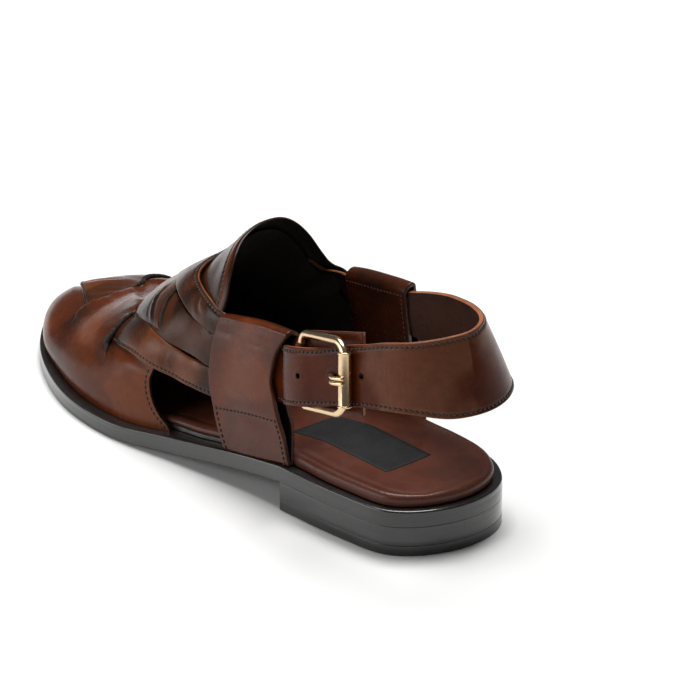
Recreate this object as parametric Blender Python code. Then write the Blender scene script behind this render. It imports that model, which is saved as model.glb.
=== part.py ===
"""Peshawari chappal, left shoe: the construction, at real size.

World frame: X to the inner side of the foot, Y to the toe, Z up, in metres.
The origin is the middle of the heel's wearing face. Sizes below are millimetres, and
"along" is measured from the back of the sole towards the toe.

A place on the upper is (along, turn): turn runs from -1 at the outer feather line,
over 0 at the ridge of the instep, to +1 at the inner feather line.
"""

import math
from collections import namedtuple

import bmesh
import bpy
import numpy as np

MM = 0.001
GAP = 0.3  # clearance between pieces that meet
CUT_PAST = 2.0  # how far a cutter runs past what it cuts
OUTER = -1  # side of the foot with the buckle
INNER = 1

# Driving sizes
HEEL_CENTRE = 36.0  # along, where the origin lies
BREAST = 74.5  # along, front face of the heel
HEEL_HEIGHT = 13.3  # floor to the underside of the outsole
LIFT_THICK = 4.7
OUTSOLE_THICK = 7.3
BOARD_THICK = 1.8
FOOTBED_THICK = 2.8
FOOTBED_ROUND = 1.6  # drop and width of the footbed's rounded edge
UPPER_WALL = 2.3
TONGUE_WALL = 1.8
TONGUE_SINK = 11.0  # length over which the tongue sinks from its rim to under the bands
SINK_LEAD = 2.0  # along, how far behind the bands it has sunk under them
BAND_WALL = 2.0
LINING_WALL = 1.5
STRAP_WALL = 2.2
CHAPE_WALL = 1.2
LINING_DEPTH = 5.5  # from the upper's outer face in to the side band's inner leg
FLAT_FROM, FLAT_TO = 190.0, 242.0  # along, the forefoot's flat tread

# Closed outline of the sole, from the back of the heel round the outer side
Corner = namedtuple("Corner", "across along")
OUTLINE = [
    Corner(*row)
    for row in (
        (0, 0), (-18, 4.5), (-30.5, 15), (-36, 36), (-40, 66), (-43.3, 100), (-51, 140),
        (-59, 176), (-58.5, 208), (-50, 238), (-35.5, 265.5), (-16, 285.5), (5, 293),
        (24, 287.5), (39.5, 270), (48, 240), (48, 204), (40, 163), (32.5, 123), (34.6, 89),
        (36, 59), (36.5, 30), (29, 12), (17, 3),
    )
]

Station = namedtuple("Station", "along value")


def stations(*rows):
    return [Station(*row) for row in rows]


TREAD = stations((BREAST, HEEL_HEIGHT), (102.5, 9.2), (142.5, 3.8), (177, 0.2),
                 (FLAT_FROM, 0), (FLAT_TO, 0), (264, 0.4), (293, 2.8))
# Distance of the feather line, and of the board's edge, inside the outline
FEATHER_INSET = stations((0, 5), (74, 4), (100, 3), (125, 3), (150, 5.3), (230, 5.3),
                         (262, 4), (293, 3.5))
BOARD_INSET = stations((0, 5.2), (50, 5.2), (68, 6.2), (126, 6.2), (146, 8.3), (230, 8.3),
                       (262, 8.3), (293, 10))

# Cross sections of the upper: height is ridge over feather line, fullness is the
# exponent of each quarter of the arch, bulge is how far each wall swells outward
Section = namedtuple(
    "Section", "along ridge height outer_full inner_full outer_bulge inner_bulge"
)
SECTIONS = [
    Section(*row)
    for row in (
        (60, 0, 101, 2.1, 2.2, 3, 3),
        (90, 0, 103, 2.1, 2.2, 2, 4),
        (115, 1, 99, 2.05, 2.4, 0, 6),
        (130, 2, 93.5, 2.05, 2.5, 0, 7),
        (142, 2, 86.5, 2.0, 2.4, 0, 6),
        (155, 2, 77.6, 2.0, 2.2, 1, 4),
        (172, 2, 66.2, 1.95, 2.1, 1.5, 2),
        (190, 2, 53.2, 1.9, 2.0, 2, 1),
        (212, 2, 38.2, 2.0, 2.0, 2.5, 1),
        (235, 2, 26.9, 2.1, 2.1, 3, 1),
        (250, 3, 23, 2.2, 2.1, 3, 1.5),
        (270, 4, 20.3, 2.3, 2.2, 2.5, 1.5),
        (290, 4, 15, 2.3, 2.2, 2, 1.5),
    )
]
TOE_CLOSE = 250.0  # along, where the toe starts to round off
TOE_ROUND = 0.6
BULGE_SHAPE = 0.8  # below 1 the walls swell most in their lower half

# Edges of the upper's pieces: along at each turn
Edge = namedtuple("Edge", "turn along")


def edge(*rows):
    return [Edge(*row) for row in rows]


WEAVE_BACK = edge((-1, 112), (-0.72, 112), (-0.61, 122.5), (-0.55, 128), (-0.48, 140),
                  (-0.43, 145.5), (-0.32, 152), (-0.15, 159), (0, 162), (0.15, 161),
                  (0.32, 156), (0.45, 149), (0.55, 138), (0.61, 135), (0.72, 122.5), (1, 122.5))
COLLAR = edge((-0.66, 122), (-0.55, 122), (-0.49, 123.8), (-0.42, 126.5), (-0.36, 129),
              (-0.24, 134), (-0.1, 137.5), (0, 139), (0.2, 139.3), (0.45, 138.5), (0.55, 136.5),
              (0.59, 133.5), (0.615, 128), (0.64, 123.5), (0.66, 122.5))
TONGUE_FRONT = edge((-0.66, 150), (-0.3, 168), (0, 172), (0.3, 168), (0.66, 152))

# Side window, seen from the side: the vamp's back edge and the lower edge of the band
Side = namedtuple("Side", "along up")
WINDOW_REACH = (18.0, 80.0)  # across, from inside the wall to outside it
WINDOW = [
    Side(*row)
    for row in (
        (143, 4), (146, 11.5), (151, 14.5), (154, 18), (157, 23), (158, 28), (158, 37),
        (146, 36), (131, 36), (104, 35.5), (104, 4),
    )
]

# Edges of a side band at each turn: of the outer leg, on the outer and the inner side
BandEdge = namedtuple("BandEdge", "turn outer_back outer_front inner_back inner_front")
BAND = [
    BandEdge(*row)
    for row in (
        (0.60, 72, 119.5, 72, 119.5),
        (0.64, 77, 120.5, 74, 120),
        (0.70, 81.5, 121.5, 76, 120),
        (0.77, 82.5, 121, 77, 119.5),
        (0.82, 80, 120, 77, 118.8),
        (0.88, 76.5, 117.5, 75, 117.5),
        (0.93, 73, 115.5, 73, 115.5),
        (1.0, 71, 111, 71, 111),
    )
]
BAND_TOP = {OUTER: 0.624, INNER: 0.612}
LINING_MEET = 0.90  # turn from where the inner leg closes up to the outer one
LINING_FOOT = -1.3  # lift of the inner leg's inner face where it ends, over the ledge
# How far the rounded fold stands over the ends of its legs: of its outer and inner face
FOLD_CROWN = (3.5, 1.6)

# Outer face of the heel strap, from the outer band round the heel to the inner band
Rib = namedtuple("Rib", "low_x low_along low_up high_x high_along high_up")
STRAP = [
    Rib(*row)
    for row in (
        (-37.6, 76.3, 48.3, -34.1, 80.6, 72.2),
        (-42.3, 69.5, 51.2, -38.6, 74.5, 75.6),
        (-43.6, 62, 54, -39.8, 67, 78),
        (-43.2, 55, 56, -39.4, 60, 80),
        (-41.2, 48.5, 57.9, -37.3, 53.7, 81.6),
        (-38.8, 40.5, 60.3, -35.0, 45.7, 84.6),
        (-37.0, 32.5, 62.6, -33.2, 37.7, 87.7),
        (-35.0, 24.5, 64.9, -31.2, 29.7, 90.3),
        (-32.2, 15.5, 66.2, -28.6, 20.2, 93.7),
        (-26, 4, 67, -22, 8, 96.5),
        (-12, -6.5, 65, -10, 1, 98),
        (5, -9.3, 64.8, 3, -0.5, 98.5),
        (17.5, -5.5, 65, 12.5, 5, 98),
        (28.5, 4, 65, 19.5, 14, 97),
        (34, 16, 64.2, 24, 25, 95.5),
        (36.5, 30, 62.2, 27.2, 36, 93.2),
        (37, 44, 59, 28.5, 48, 91),
        (36.6, 57, 55.5, 29.0, 60.5, 87.5),
    )
]
# Where the strap's ends lie under the bands: along, and the turns of its two edges
Entry = namedtuple("Entry", "side along low_turn high_turn")
OUTER_ENTRIES = [Entry(OUTER, along, 0.837, 0.665) for along in (98.0, 87.0)]
INNER_ENTRIES = [
    Entry(INNER, *row)
    for row in ((76, 0.765, 0.63), (86, 0.78, 0.635), (97, 0.795, 0.64), (108, 0.81, 0.65))
]

# The buckle lies in its own frame: run to the heel, rise up the strap, out from the foot
BUCKLE_PLACE = np.array((-38.9, 50.5, 70.0))
BUCKLE_RUN = np.array((0.103, -0.977, 0.185))
BUCKLE_RISE = np.array((0.150, 0.199, 0.968))
Bar = namedtuple("Bar", "run rise out")
HINGE = Bar(-15.0, 0.3, -5.2)
CATCH = Bar(19.0, 1.7, 1.1)
FRAME_HALF = 15.8  # half width between the middles of the frame's side wires
FRAME_CORNER = 3.2
WIRE = 1.3
ROLLER_HALF = 12.3
ROLLER_RADIUS = 2.8
ROLLER_BORE = 1.6
PRONG_HALF = 1.7
PRONG_THICK = 1.6
PRONG_HUB = 2.6
PRONG_PATH = ((-15.0, -5.2), (-12.4, -4.7), (3.6, -4.4), (6.0, -3.5), (8.2, -1.0),
              (9.9, 1.4), (12.0, 3.2), (15.0, 4.5), (18.5, 5.0), (21.4, 4.5))
HUB_ARC = (28.0, 352.0)  # degrees, the part of the prong's hub that is round
PRONG_PLAY = 0.25  # clearance of the prong on the hinge wire
# Holes in the strap: places and half sizes in the buckle's frame; the prong's is worn long
Hole = namedtuple("Hole", "run rise half_run half_rise")
HOLES = [
    Hole(*row) for row in ((-9.7, -0.5, 1.3, 1.3), (7.2, 1.2, 3.6, 3.0), (25.0, 3.7, 1.3, 1.3))
]
HOLE_REACH = (-10.0, 6.0)  # out, where a hole's cutter starts and ends
# Chape: the leather backing under the buckle, with a loop round the hinge wire
Backing = namedtuple("Backing", "run low high out")
BACKING = [
    Backing(*row)
    for row in ((-17.0, -14.5, 16.0, -6.9), (0.0, -14.4, 18.6, -6.4), (22.5, -13.5, 21.2, -5.8))
]
LOOP_HALF = 11.8
LOOP_WALL = 1.0
LOOP_FOOT = 2.5  # run, how far the loop's ends splay on the backing
PRONG_SLOT = (4.2, 2.3, 6.0)  # half run, rise and out of the opening in the loop

Finish = namedtuple("Finish", "colour roughness metallic")
FINISHES = {
    "tan_leather": Finish((0.16, 0.045, 0.022), 0.35, 0.0),
    "lining": Finish((0.03, 0.014, 0.010), 0.6, 0.0),
    "sole_black": Finish((0.015, 0.014, 0.014), 0.3, 0.0),
    "board_grey": Finish((0.05, 0.045, 0.04), 0.5, 0.0),
    "sock_brown": Finish((0.09, 0.025, 0.014), 0.45, 0.0),
    "brass": Finish((0.80, 0.56, 0.28), 0.25, 1.0),
}


def smooth(rows, column, at, key="along"):
    """A column's value between its rows, on a smooth curve that never overshoots them."""
    keys = np.array([getattr(row, key) for row in rows], float)
    values = np.array([getattr(row, column) for row in rows], float)
    step = np.diff(keys)
    slope = np.diff(values) / step
    before, after = slope[:-1], slope[1:]
    same_sign = before * after > 0
    total = np.where(same_sign, before + after, 1.0)
    middle = np.where(same_sign, 2 * before * after / total, 0.0)
    tangent = np.concatenate([slope[:1], middle, slope[-1:]])
    at = np.clip(np.asarray(at, float), keys[0], keys[-1])
    cell = np.clip(np.searchsorted(keys, at, side="right") - 1, 0, len(step) - 1)
    part = (at - keys[cell]) / step[cell]
    rise = tangent[cell] * step[cell]
    fall = tangent[cell + 1] * step[cell]
    change = values[cell + 1] - values[cell]
    bend = 3 * change - 2 * rise - fall
    twist = rise + fall - 2 * change
    return values[cell] + part * (rise + part * (bend + part * twist))


def closed_curve(corners, count=720):
    """Points on a smooth closed curve through the corners, evenly spaced between them."""
    points = np.array(corners, float)
    reach = np.linalg.norm(np.roll(points, -1, 0) - points, axis=1)
    place = np.concatenate([[0], np.cumsum(reach)])
    chord = np.roll(points, -1, 0) - np.roll(points, 1, 0)
    tangent = chord / (reach + np.roll(reach, 1))[:, None]
    at = np.linspace(0, place[-1], count, endpoint=False)
    cell = np.searchsorted(place, at, side="right") - 1
    part = ((at - place[cell]) / reach[cell])[:, None]
    following = (cell + 1) % len(points)
    rise = tangent[cell] * reach[cell][:, None]
    fall = tangent[following] * reach[cell][:, None]
    change = points[following] - points[cell]
    bend = 3 * change - 2 * rise - fall
    return points[cell] + part * (rise + part * (bend + part * (rise + fall - 2 * change)))


def inset_curve(curve, inset):
    """The closed curve moved inwards by the inset at each of its points."""
    run = np.roll(curve, -1, 0) - np.roll(curve, 1, 0)
    run /= np.linalg.norm(run, axis=1)[:, None]
    inward = np.stack([run[:, 1], -run[:, 0]], 1)
    return curve + inward * np.broadcast_to(inset, len(curve))[:, None]


SOLE_CURVE = closed_curve(OUTLINE)
FEATHER_CURVE = inset_curve(
    SOLE_CURVE, smooth(FEATHER_INSET, "value", SOLE_CURVE[:, 1])
)


def sides(curve, along):
    """Across of the curve's outer and inner side at each place along it."""
    toe = int(curve[:, 1].argmax())
    outer = curve[: toe + 1]
    inner = np.concatenate([curve[toe:], curve[:1]])[::-1]
    outer_x = np.interp(along, np.maximum.accumulate(outer[:, 1]), outer[:, 0])
    inner_x = np.interp(along, np.maximum.accumulate(inner[:, 1]), inner[:, 0])
    return outer_x, inner_x


def spread(start, end, count, round_start=True, round_end=True):
    """Places from start to end, closer together at the ends that are round."""
    first = -math.pi / 2 if round_start else 0.0
    last = math.pi / 2 if round_end else 0.0
    wave = np.sin(np.linspace(first, last, count))
    return start + (end - start) * (wave - wave[0]) / (wave[-1] - wave[0])


def sole_stations(curve):
    """Places along the sole where its layers have their sections."""
    rear = spread(curve[:, 1].min(), BREAST, 13, round_end=False)
    waist = np.linspace(BREAST, FLAT_FROM, 15)[1:]
    tread = np.linspace(FLAT_FROM, FLAT_TO, 6)[1:]
    toe = spread(FLAT_TO, curve[:, 1].max(), 14, round_start=False)[1:]
    return np.concatenate([rear, waist, tread, toe])


SOLE_STATIONS = sole_stations(SOLE_CURVE)
TREAD_AT_STATIONS = smooth(TREAD, "value", SOLE_STATIONS)


def tread_height(along):
    return np.interp(along, SOLE_STATIONS, TREAD_AT_STATIONS)


def ledge_height(along):
    """Top of the outsole, which the upper stands on."""
    return tread_height(along) + OUTSOLE_THICK


TOE_TIP = float(FEATHER_CURVE[:, 1].max())


def arch(along, turn):
    """Outer face of the upper, without its offset, as points (across, along, up)."""
    along, turn = np.broadcast_arrays(np.asarray(along, float), np.asarray(turn, float))
    outer_x, inner_x = sides(FEATHER_CURVE, along)
    foot = ledge_height(along)
    ridge = smooth(SECTIONS, "ridge", along)
    closing = np.clip((along - TOE_CLOSE) / (TOE_TIP - TOE_CLOSE), 0, 1)
    height = smooth(SECTIONS, "height", along) * (1 - closing**2) ** TOE_ROUND
    is_outer = turn < 0
    full = np.where(
        is_outer, smooth(SECTIONS, "outer_full", along), smooth(SECTIONS, "inner_full", along)
    )
    bulge = np.where(
        is_outer, smooth(SECTIONS, "outer_bulge", along), smooth(SECTIONS, "inner_bulge", along)
    )
    width = np.where(is_outer, ridge - outer_x, inner_x - ridge)
    angle = np.abs(turn) * math.pi / 2
    rise = np.clip(np.cos(angle), 0, 1) ** (2 / full)
    reach = np.sin(angle) ** (2 / full)
    bulge = bulge * np.sqrt(1 - closing)
    across = ridge + np.sign(turn) * (width * reach + bulge * np.sin(math.pi * rise**BULGE_SHAPE))
    return np.stack([across, along, foot + height * rise], -1)


def outward(along, turn):
    """Unit normals of the arch, pointing out of the foot."""
    along, turn = np.broadcast_arrays(np.asarray(along, float), np.asarray(turn, float))
    near = np.minimum(along, TOE_TIP - 0.6)
    back, front = arch(near - 0.5, turn), arch(near + 0.5, turn)
    low = arch(near, np.clip(turn - 0.01, -0.995, 0.995))
    high = arch(near, np.clip(turn + 0.01, -0.995, 0.995))
    normal = np.cross(high - low, front - back)
    return normal / np.linalg.norm(normal, axis=-1, keepdims=True)


def skin(along, turn, lift):
    """Points at a height over (or depth under) the arch."""
    return arch(along, turn) + outward(along, turn) * np.asarray(lift, float)[..., None]


def finish(name):
    """The Principled material of one finish."""
    if name in bpy.data.materials:
        return bpy.data.materials[name]
    look = FINISHES[name]
    material = bpy.data.materials.new(name)
    material.use_nodes = True
    shader = material.node_tree.nodes["Principled BSDF"]
    shader.inputs["Base Color"].default_value = (*look.colour, 1.0)
    shader.inputs["Roughness"].default_value = look.roughness
    shader.inputs["Metallic"].default_value = look.metallic
    return material


def solid(name, points, faces, finish_name):
    """One named object from points in millimetres, its faces turned to point out."""
    shifted = (np.asarray(points, float) - (0, HEEL_CENTRE, 0)) * MM
    mesh = bpy.data.meshes.new(name)
    mesh.from_pydata(shifted.tolist(), [], faces)
    body = bmesh.new()
    body.from_mesh(mesh)
    bmesh.ops.remove_doubles(body, verts=body.verts, dist=1e-6)
    bmesh.ops.dissolve_degenerate(body, edges=body.edges, dist=1e-7)
    bmesh.ops.triangulate(body, faces=body.faces, quad_method="BEAUTY")
    bmesh.ops.recalc_face_normals(body, faces=body.faces)
    body.to_mesh(mesh)
    body.free()
    piece = bpy.data.objects.new(name, mesh)
    bpy.context.scene.collection.objects.link(piece)
    mesh.materials.append(finish(finish_name))
    mesh.shade_smooth()
    mesh.set_sharp_from_angle(angle=math.radians(35))
    return piece


def quad_faces(rows, columns, start=0, closed=False):
    """Quads of a grid of points; closed joins the last column to the first."""
    faces = []
    span = columns if closed else columns - 1
    for row in range(rows - 1):
        for column in range(span):
            beside = (column + 1) % columns
            a = start + row * columns + column
            b = start + row * columns + beside
            faces.append((a, b, b + columns, a + columns))
    return faces


def shell(name, face_a, face_b, finish_name):
    """A closed wall between two grids of the same size."""
    rows, columns = face_a.shape[:2]
    count = rows * columns
    faces = quad_faces(rows, columns)
    faces += [tuple(reversed(face)) for face in quad_faces(rows, columns, count)]
    rim = list(range(columns))
    rim += [row * columns + columns - 1 for row in range(1, rows)]
    rim += [(rows - 1) * columns + column for column in range(columns - 2, -1, -1)]
    rim += [row * columns for row in range(rows - 2, 0, -1)]
    for here, there in zip(rim, rim[1:] + rim[:1]):
        faces.append((there, here, here + count, there + count))
    points = np.concatenate([face_a.reshape(-1, 3), face_b.reshape(-1, 3)])
    return solid(name, points, faces, finish_name)


def tube(name, rings, finish_name, closed=False):
    """A closed solid through rings of points: capped at its ends, or joined into a loop."""
    rows, columns = rings.shape[:2]
    if closed:
        rings = np.concatenate([rings, rings[:1]])
        rows += 1
    faces = quad_faces(rows, columns, closed=True)
    if not closed:
        faces.append(tuple(range(columns - 1, -1, -1)))
        faces.append(tuple(range((rows - 1) * columns, rows * columns)))
    return solid(name, rings.reshape(-1, 3), faces, finish_name)


def slab(name, curve, along, bottom, top, finish_name, round_edge=0.0):
    """A flat layer of the sole inside a curve, between two heights at each station."""
    outer_x, inner_x = sides(curve, along)
    width = inner_x - outer_x
    margin = np.minimum(round_edge, width * 0.2) if round_edge else width * 0.25
    across = np.stack(
        [outer_x, outer_x + margin, (outer_x + inner_x) / 2, inner_x - margin, inner_x], 1
    )
    drop = np.zeros_like(across)
    drop[:, [0, -1]] = round_edge
    drop[[0, -1]] = round_edge
    along_grid = np.broadcast_to(along[:, None], across.shape)
    low = np.broadcast_to(np.asarray(bottom, float).reshape(-1, 1), across.shape)
    high = np.broadcast_to(np.asarray(top, float).reshape(-1, 1), across.shape) - drop
    face_high = np.stack([across, along_grid, high], -1)
    face_low = np.stack([across, along_grid, low], -1)
    return shell(name, face_high, face_low, finish_name)


def make_sole():
    """Outsole, heel block, top lift, board and footbed."""
    along = SOLE_STATIONS
    slab("outsole", SOLE_CURVE, along, tread_height(along), ledge_height(along), "sole_black")

    block = inset_curve(SOLE_CURVE, GAP)
    rear = spread(block[:, 1].min(), BREAST, 16, round_end=False)
    slab("heel_block", block, rear, LIFT_THICK + GAP, HEEL_HEIGHT - GAP, "sole_black")
    lift = inset_curve(SOLE_CURVE, 2 * GAP)
    rear = spread(lift[:, 1].min(), BREAST, 16, round_end=False)
    slab("heel_top_lift", lift, rear, 0.0, LIFT_THICK, "sole_black")

    inset = smooth(BOARD_INSET, "value", SOLE_CURVE[:, 1])
    board = inset_curve(SOLE_CURVE, inset)
    along = sole_stations(board)
    base = ledge_height(along) + GAP
    slab("insole_board", board, along, base, base + BOARD_THICK, "board_grey")
    sock = inset_curve(SOLE_CURVE, inset + GAP)
    along = sole_stations(sock)
    base = ledge_height(along) + BOARD_THICK + 2 * GAP
    slab("footbed", sock, along, base, base + FOOTBED_THICK, "sock_brown", FOOTBED_ROUND)


def grid_skin(back, front, turns, rows, lift):
    """Points of a wall's face between two edges; the lift runs from one value to another."""
    share = np.linspace(0, 1, rows)[:, None]
    along = back + (front - back) * share
    turn = np.broadcast_to(turns, along.shape)
    return skin(along, turn, np.broadcast_to(lift[0] + (lift[1] - lift[0]) * share, along.shape))


def make_upper():
    """Vamp and crossing bands as one hollow wall, with a window on each side."""
    turns = np.linspace(-1, 1, 37)
    back = smooth(WEAVE_BACK, "along", turns, key="turn")
    share = spread(0, 1, 31, round_start=False)[:, None]
    along = back + (TOE_TIP - back) * share
    turn = np.broadcast_to(turns, along.shape)
    outer_face = arch(along, turn)
    inner_face = skin(along, turn, np.full(along.shape, -UPPER_WALL))
    outer_face[-1] = outer_face[-1].mean(0)
    inner_face[-1] = outer_face[-1] - (0, UPPER_WALL, 0)
    floor = ledge_height(along) + GAP
    outer_face[..., 2] = np.maximum(outer_face[..., 2], floor)
    inner_face[..., 2] = np.maximum(inner_face[..., 2], floor)
    inner_face[..., 2] = np.minimum(inner_face[..., 2], outer_face[..., 2])
    upper = shell("upper", outer_face, inner_face, "tan_leather")
    for side, label in ((OUTER, "outer"), (INNER, "inner")):
        reach = sorted(side * across for across in WINDOW_REACH)
        rings = [[(across, point.along, point.up) for point in WINDOW] for across in reach]
        cut_away(upper, f"window_cutter_{label}", rings)


def make_tongue():
    """The high rounded instep piece, whose front part lies under the woven bands."""
    turns = np.linspace(-0.66, 0.66, 23)
    back = smooth(COLLAR, "along", turns, key="turn")
    front = smooth(TONGUE_FRONT, "along", turns, key="turn")
    weave = smooth(WEAVE_BACK, "along", turns, key="turn")
    clear = np.maximum(weave - SINK_LEAD, back + SINK_LEAD)
    depth = UPPER_WALL + 2 * GAP
    covered = np.clip(1 - (weave - back) / TONGUE_SINK, 0, 1)
    rim_lift = -depth * covered
    faces = []
    for wall in (0.0, TONGUE_WALL):
        near = grid_skin(back, clear, turns, 7, (rim_lift - wall, -depth - wall))
        far = grid_skin(clear, front, turns, 4, (-depth - wall, -depth - wall))
        faces.append(np.concatenate([near, far[1:]]))
    outer_face, inner_face = faces
    shell("instep_tongue", outer_face, inner_face, "lining")


def band_leg(side, turns, lifts):
    """Points of one leg of a side band: a row at each turn, from its back to its front edge."""
    label = "outer" if side == OUTER else "inner"
    back = smooth(BAND, label + "_back", np.abs(turns), key="turn")[:, None]
    front = smooth(BAND, label + "_front", np.abs(turns), key="turn")[:, None]
    along = back + (front - back) * np.linspace(0, 1, 7)
    turn = np.broadcast_to(side * np.abs(turns)[:, None], along.shape)
    return skin(along, turn, np.broadcast_to(lifts[:, None], along.shape))


def make_side_band(name, side):
    """A band folded over the collar: outer leg, rounded top fold and inner leg in one wall."""
    down = np.linspace(BAND_TOP[side], 1.0, 12)
    closing = np.clip((down - LINING_MEET) / (1 - LINING_MEET), 0, 1)
    faces = []
    for outer_lift, high_lift, low_lift, crown in (
        (GAP + BAND_WALL, -(LINING_DEPTH + LINING_WALL), LINING_FOOT, FOLD_CROWN[0]),
        (GAP, -LINING_DEPTH, 0.0, FOLD_CROWN[1]),
    ):
        outer_leg = band_leg(side, down[::-1], np.full(len(down), outer_lift))
        inner_leg = band_leg(side, down, high_lift + (low_lift - high_lift) * closing)
        for leg in (outer_leg, inner_leg):
            floor = ledge_height(leg[..., 1]) + 1.5 * GAP
            leg[..., 2] = np.maximum(leg[..., 2], floor)
        top_outer, top_inner = outer_leg[-1], inner_leg[0]
        fold = []
        for angle in np.linspace(0, math.pi, 6)[1:-1]:
            middle = (top_outer + top_inner) / 2 + (top_outer - top_inner) / 2 * math.cos(angle)
            fold.append(middle + np.array((0, 0, crown)) * math.sin(angle))
        faces.append(np.concatenate([outer_leg, np.array(fold), inner_leg]))
    shell(name, faces[0], faces[1], "tan_leather")


def entry_rib(entry, lift):
    """A rib of the strap, or of the leather under it, where it lies under a side band."""
    turns = np.array((entry.low_turn, entry.high_turn)) * entry.side
    return skin(np.full(2, entry.along), turns, np.full(2, lift))


def strap_ribs():
    """Low and high edge of the strap's outer face, from the buckle round the heel."""
    ribs = [entry_rib(entry, -GAP) for entry in OUTER_ENTRIES]
    for rib in STRAP:
        low = (rib.low_x, rib.low_along, rib.low_up)
        high = (rib.high_x, rib.high_along, rib.high_up)
        ribs.append(np.array([low, high]))
    ribs += [entry_rib(entry, -GAP) for entry in INNER_ENTRIES]
    return np.array(ribs)


def along_ribs(ribs, share):
    """Ribs at shares of the strap's length, on a smooth curve through the given ones."""
    middle = ribs.mean(1)
    reach = np.concatenate([[0], np.cumsum(np.linalg.norm(np.diff(middle, axis=0), axis=1))])
    place = np.asarray(share) * reach[-1]
    tangent = np.gradient(ribs, reach, axis=0)
    cell = np.clip(np.searchsorted(reach, place, side="right") - 1, 0, len(reach) - 2)
    step = (reach[cell + 1] - reach[cell])[:, None, None]
    part = (place - reach[cell])[:, None, None] / step
    rise = tangent[cell] * step
    fall = tangent[cell + 1] * step
    change = ribs[cell + 1] - ribs[cell]
    bend = 3 * change - 2 * rise - fall
    return ribs[cell] + part * (rise + part * (bend + part * (rise + fall - 2 * change)))


def rib_frame(ribs):
    """Unit run, rise and outward direction at each rib."""
    run = np.gradient(ribs.mean(1), axis=0)
    run /= np.linalg.norm(run, axis=1)[:, None]
    rise = ribs[:, 1] - ribs[:, 0]
    rise /= np.linalg.norm(rise, axis=1)[:, None]
    out = np.cross(run, rise)
    return run, rise, out / np.linalg.norm(out, axis=1)[:, None]


def flat_strip(name, ribs, thick, finish_name):
    """A leather strip of a given thickness, whose outer face follows the ribs."""
    out = rib_frame(ribs)[2][:, None]
    inside = ribs - out * thick
    rings = np.concatenate([ribs, inside[:, ::-1]], 1)
    return tube(name, rings, finish_name)


BUCKLE_OUT = np.cross(BUCKLE_RUN, BUCKLE_RISE)


def buckle_point(run, rise, out):
    """A point given in the buckle's own frame."""
    run, rise, out = (np.asarray(value, float)[..., None] for value in (run, rise, out))
    return BUCKLE_PLACE + run * BUCKLE_RUN + rise * BUCKLE_RISE + out * BUCKLE_OUT


def ellipse(centre, first, second, count=12):
    """A ring of points round a centre, from two half axes."""
    angles = np.linspace(0, 2 * math.pi, count, endpoint=False)[:, None]
    return centre + first * np.cos(angles) + second * np.sin(angles)


def cut_away(piece, name, rings):
    """Cuts the solid through the rings out of a piece."""
    cutter = tube(name, np.array(rings), "lining")
    cutter.hide_render = True
    cutter.display_type = "WIRE"
    cut = piece.modifiers.new(name, "BOOLEAN")
    cut.operation = "DIFFERENCE"
    cut.solver = "EXACT"
    cut.object = cutter


def make_heel_strap():
    """Sling strap with three punched holes at its buckle end."""
    ribs = strap_ribs()
    strap = flat_strip("heel_strap", along_ribs(ribs, np.linspace(0, 1, 46)), STRAP_WALL,
                       "tan_leather")
    for number, hole in enumerate(HOLES):
        rings = [
            ellipse(buckle_point(hole.run, hole.rise, out), BUCKLE_RUN * hole.half_run,
                    BUCKLE_RISE * hole.half_rise)
            for out in HOLE_REACH
        ]
        cut_away(strap, f"hole_cutter_{number}", rings)


def wire_rings(path, radius, count=10, closed=True):
    """Rings of a round wire along a path of points."""
    if closed:
        run = np.roll(path, -1, 0) - np.roll(path, 1, 0)
    else:
        run = np.gradient(path, axis=0)
    run /= np.linalg.norm(run, axis=1)[:, None]
    plane = np.cross(BUCKLE_RISE, buckle_point(CATCH.run, 0, CATCH.out)
                     - buckle_point(HINGE.run, 0, HINGE.out))
    plane /= np.linalg.norm(plane)
    side = np.cross(run, plane)
    return np.array([ellipse(p, plane * radius, s * radius, count) for p, s in zip(path, side)])


def bar_rings(bar, half, radius, count=16):
    """Rings of a round bar along the buckle's rise."""
    across = BUCKLE_RUN * radius
    outward_reach = BUCKLE_OUT * radius
    ends = [buckle_point(bar.run, bar.rise + end, bar.out) for end in (-half, half)]
    return np.array([ellipse(end, across, outward_reach, count) for end in ends])


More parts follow.
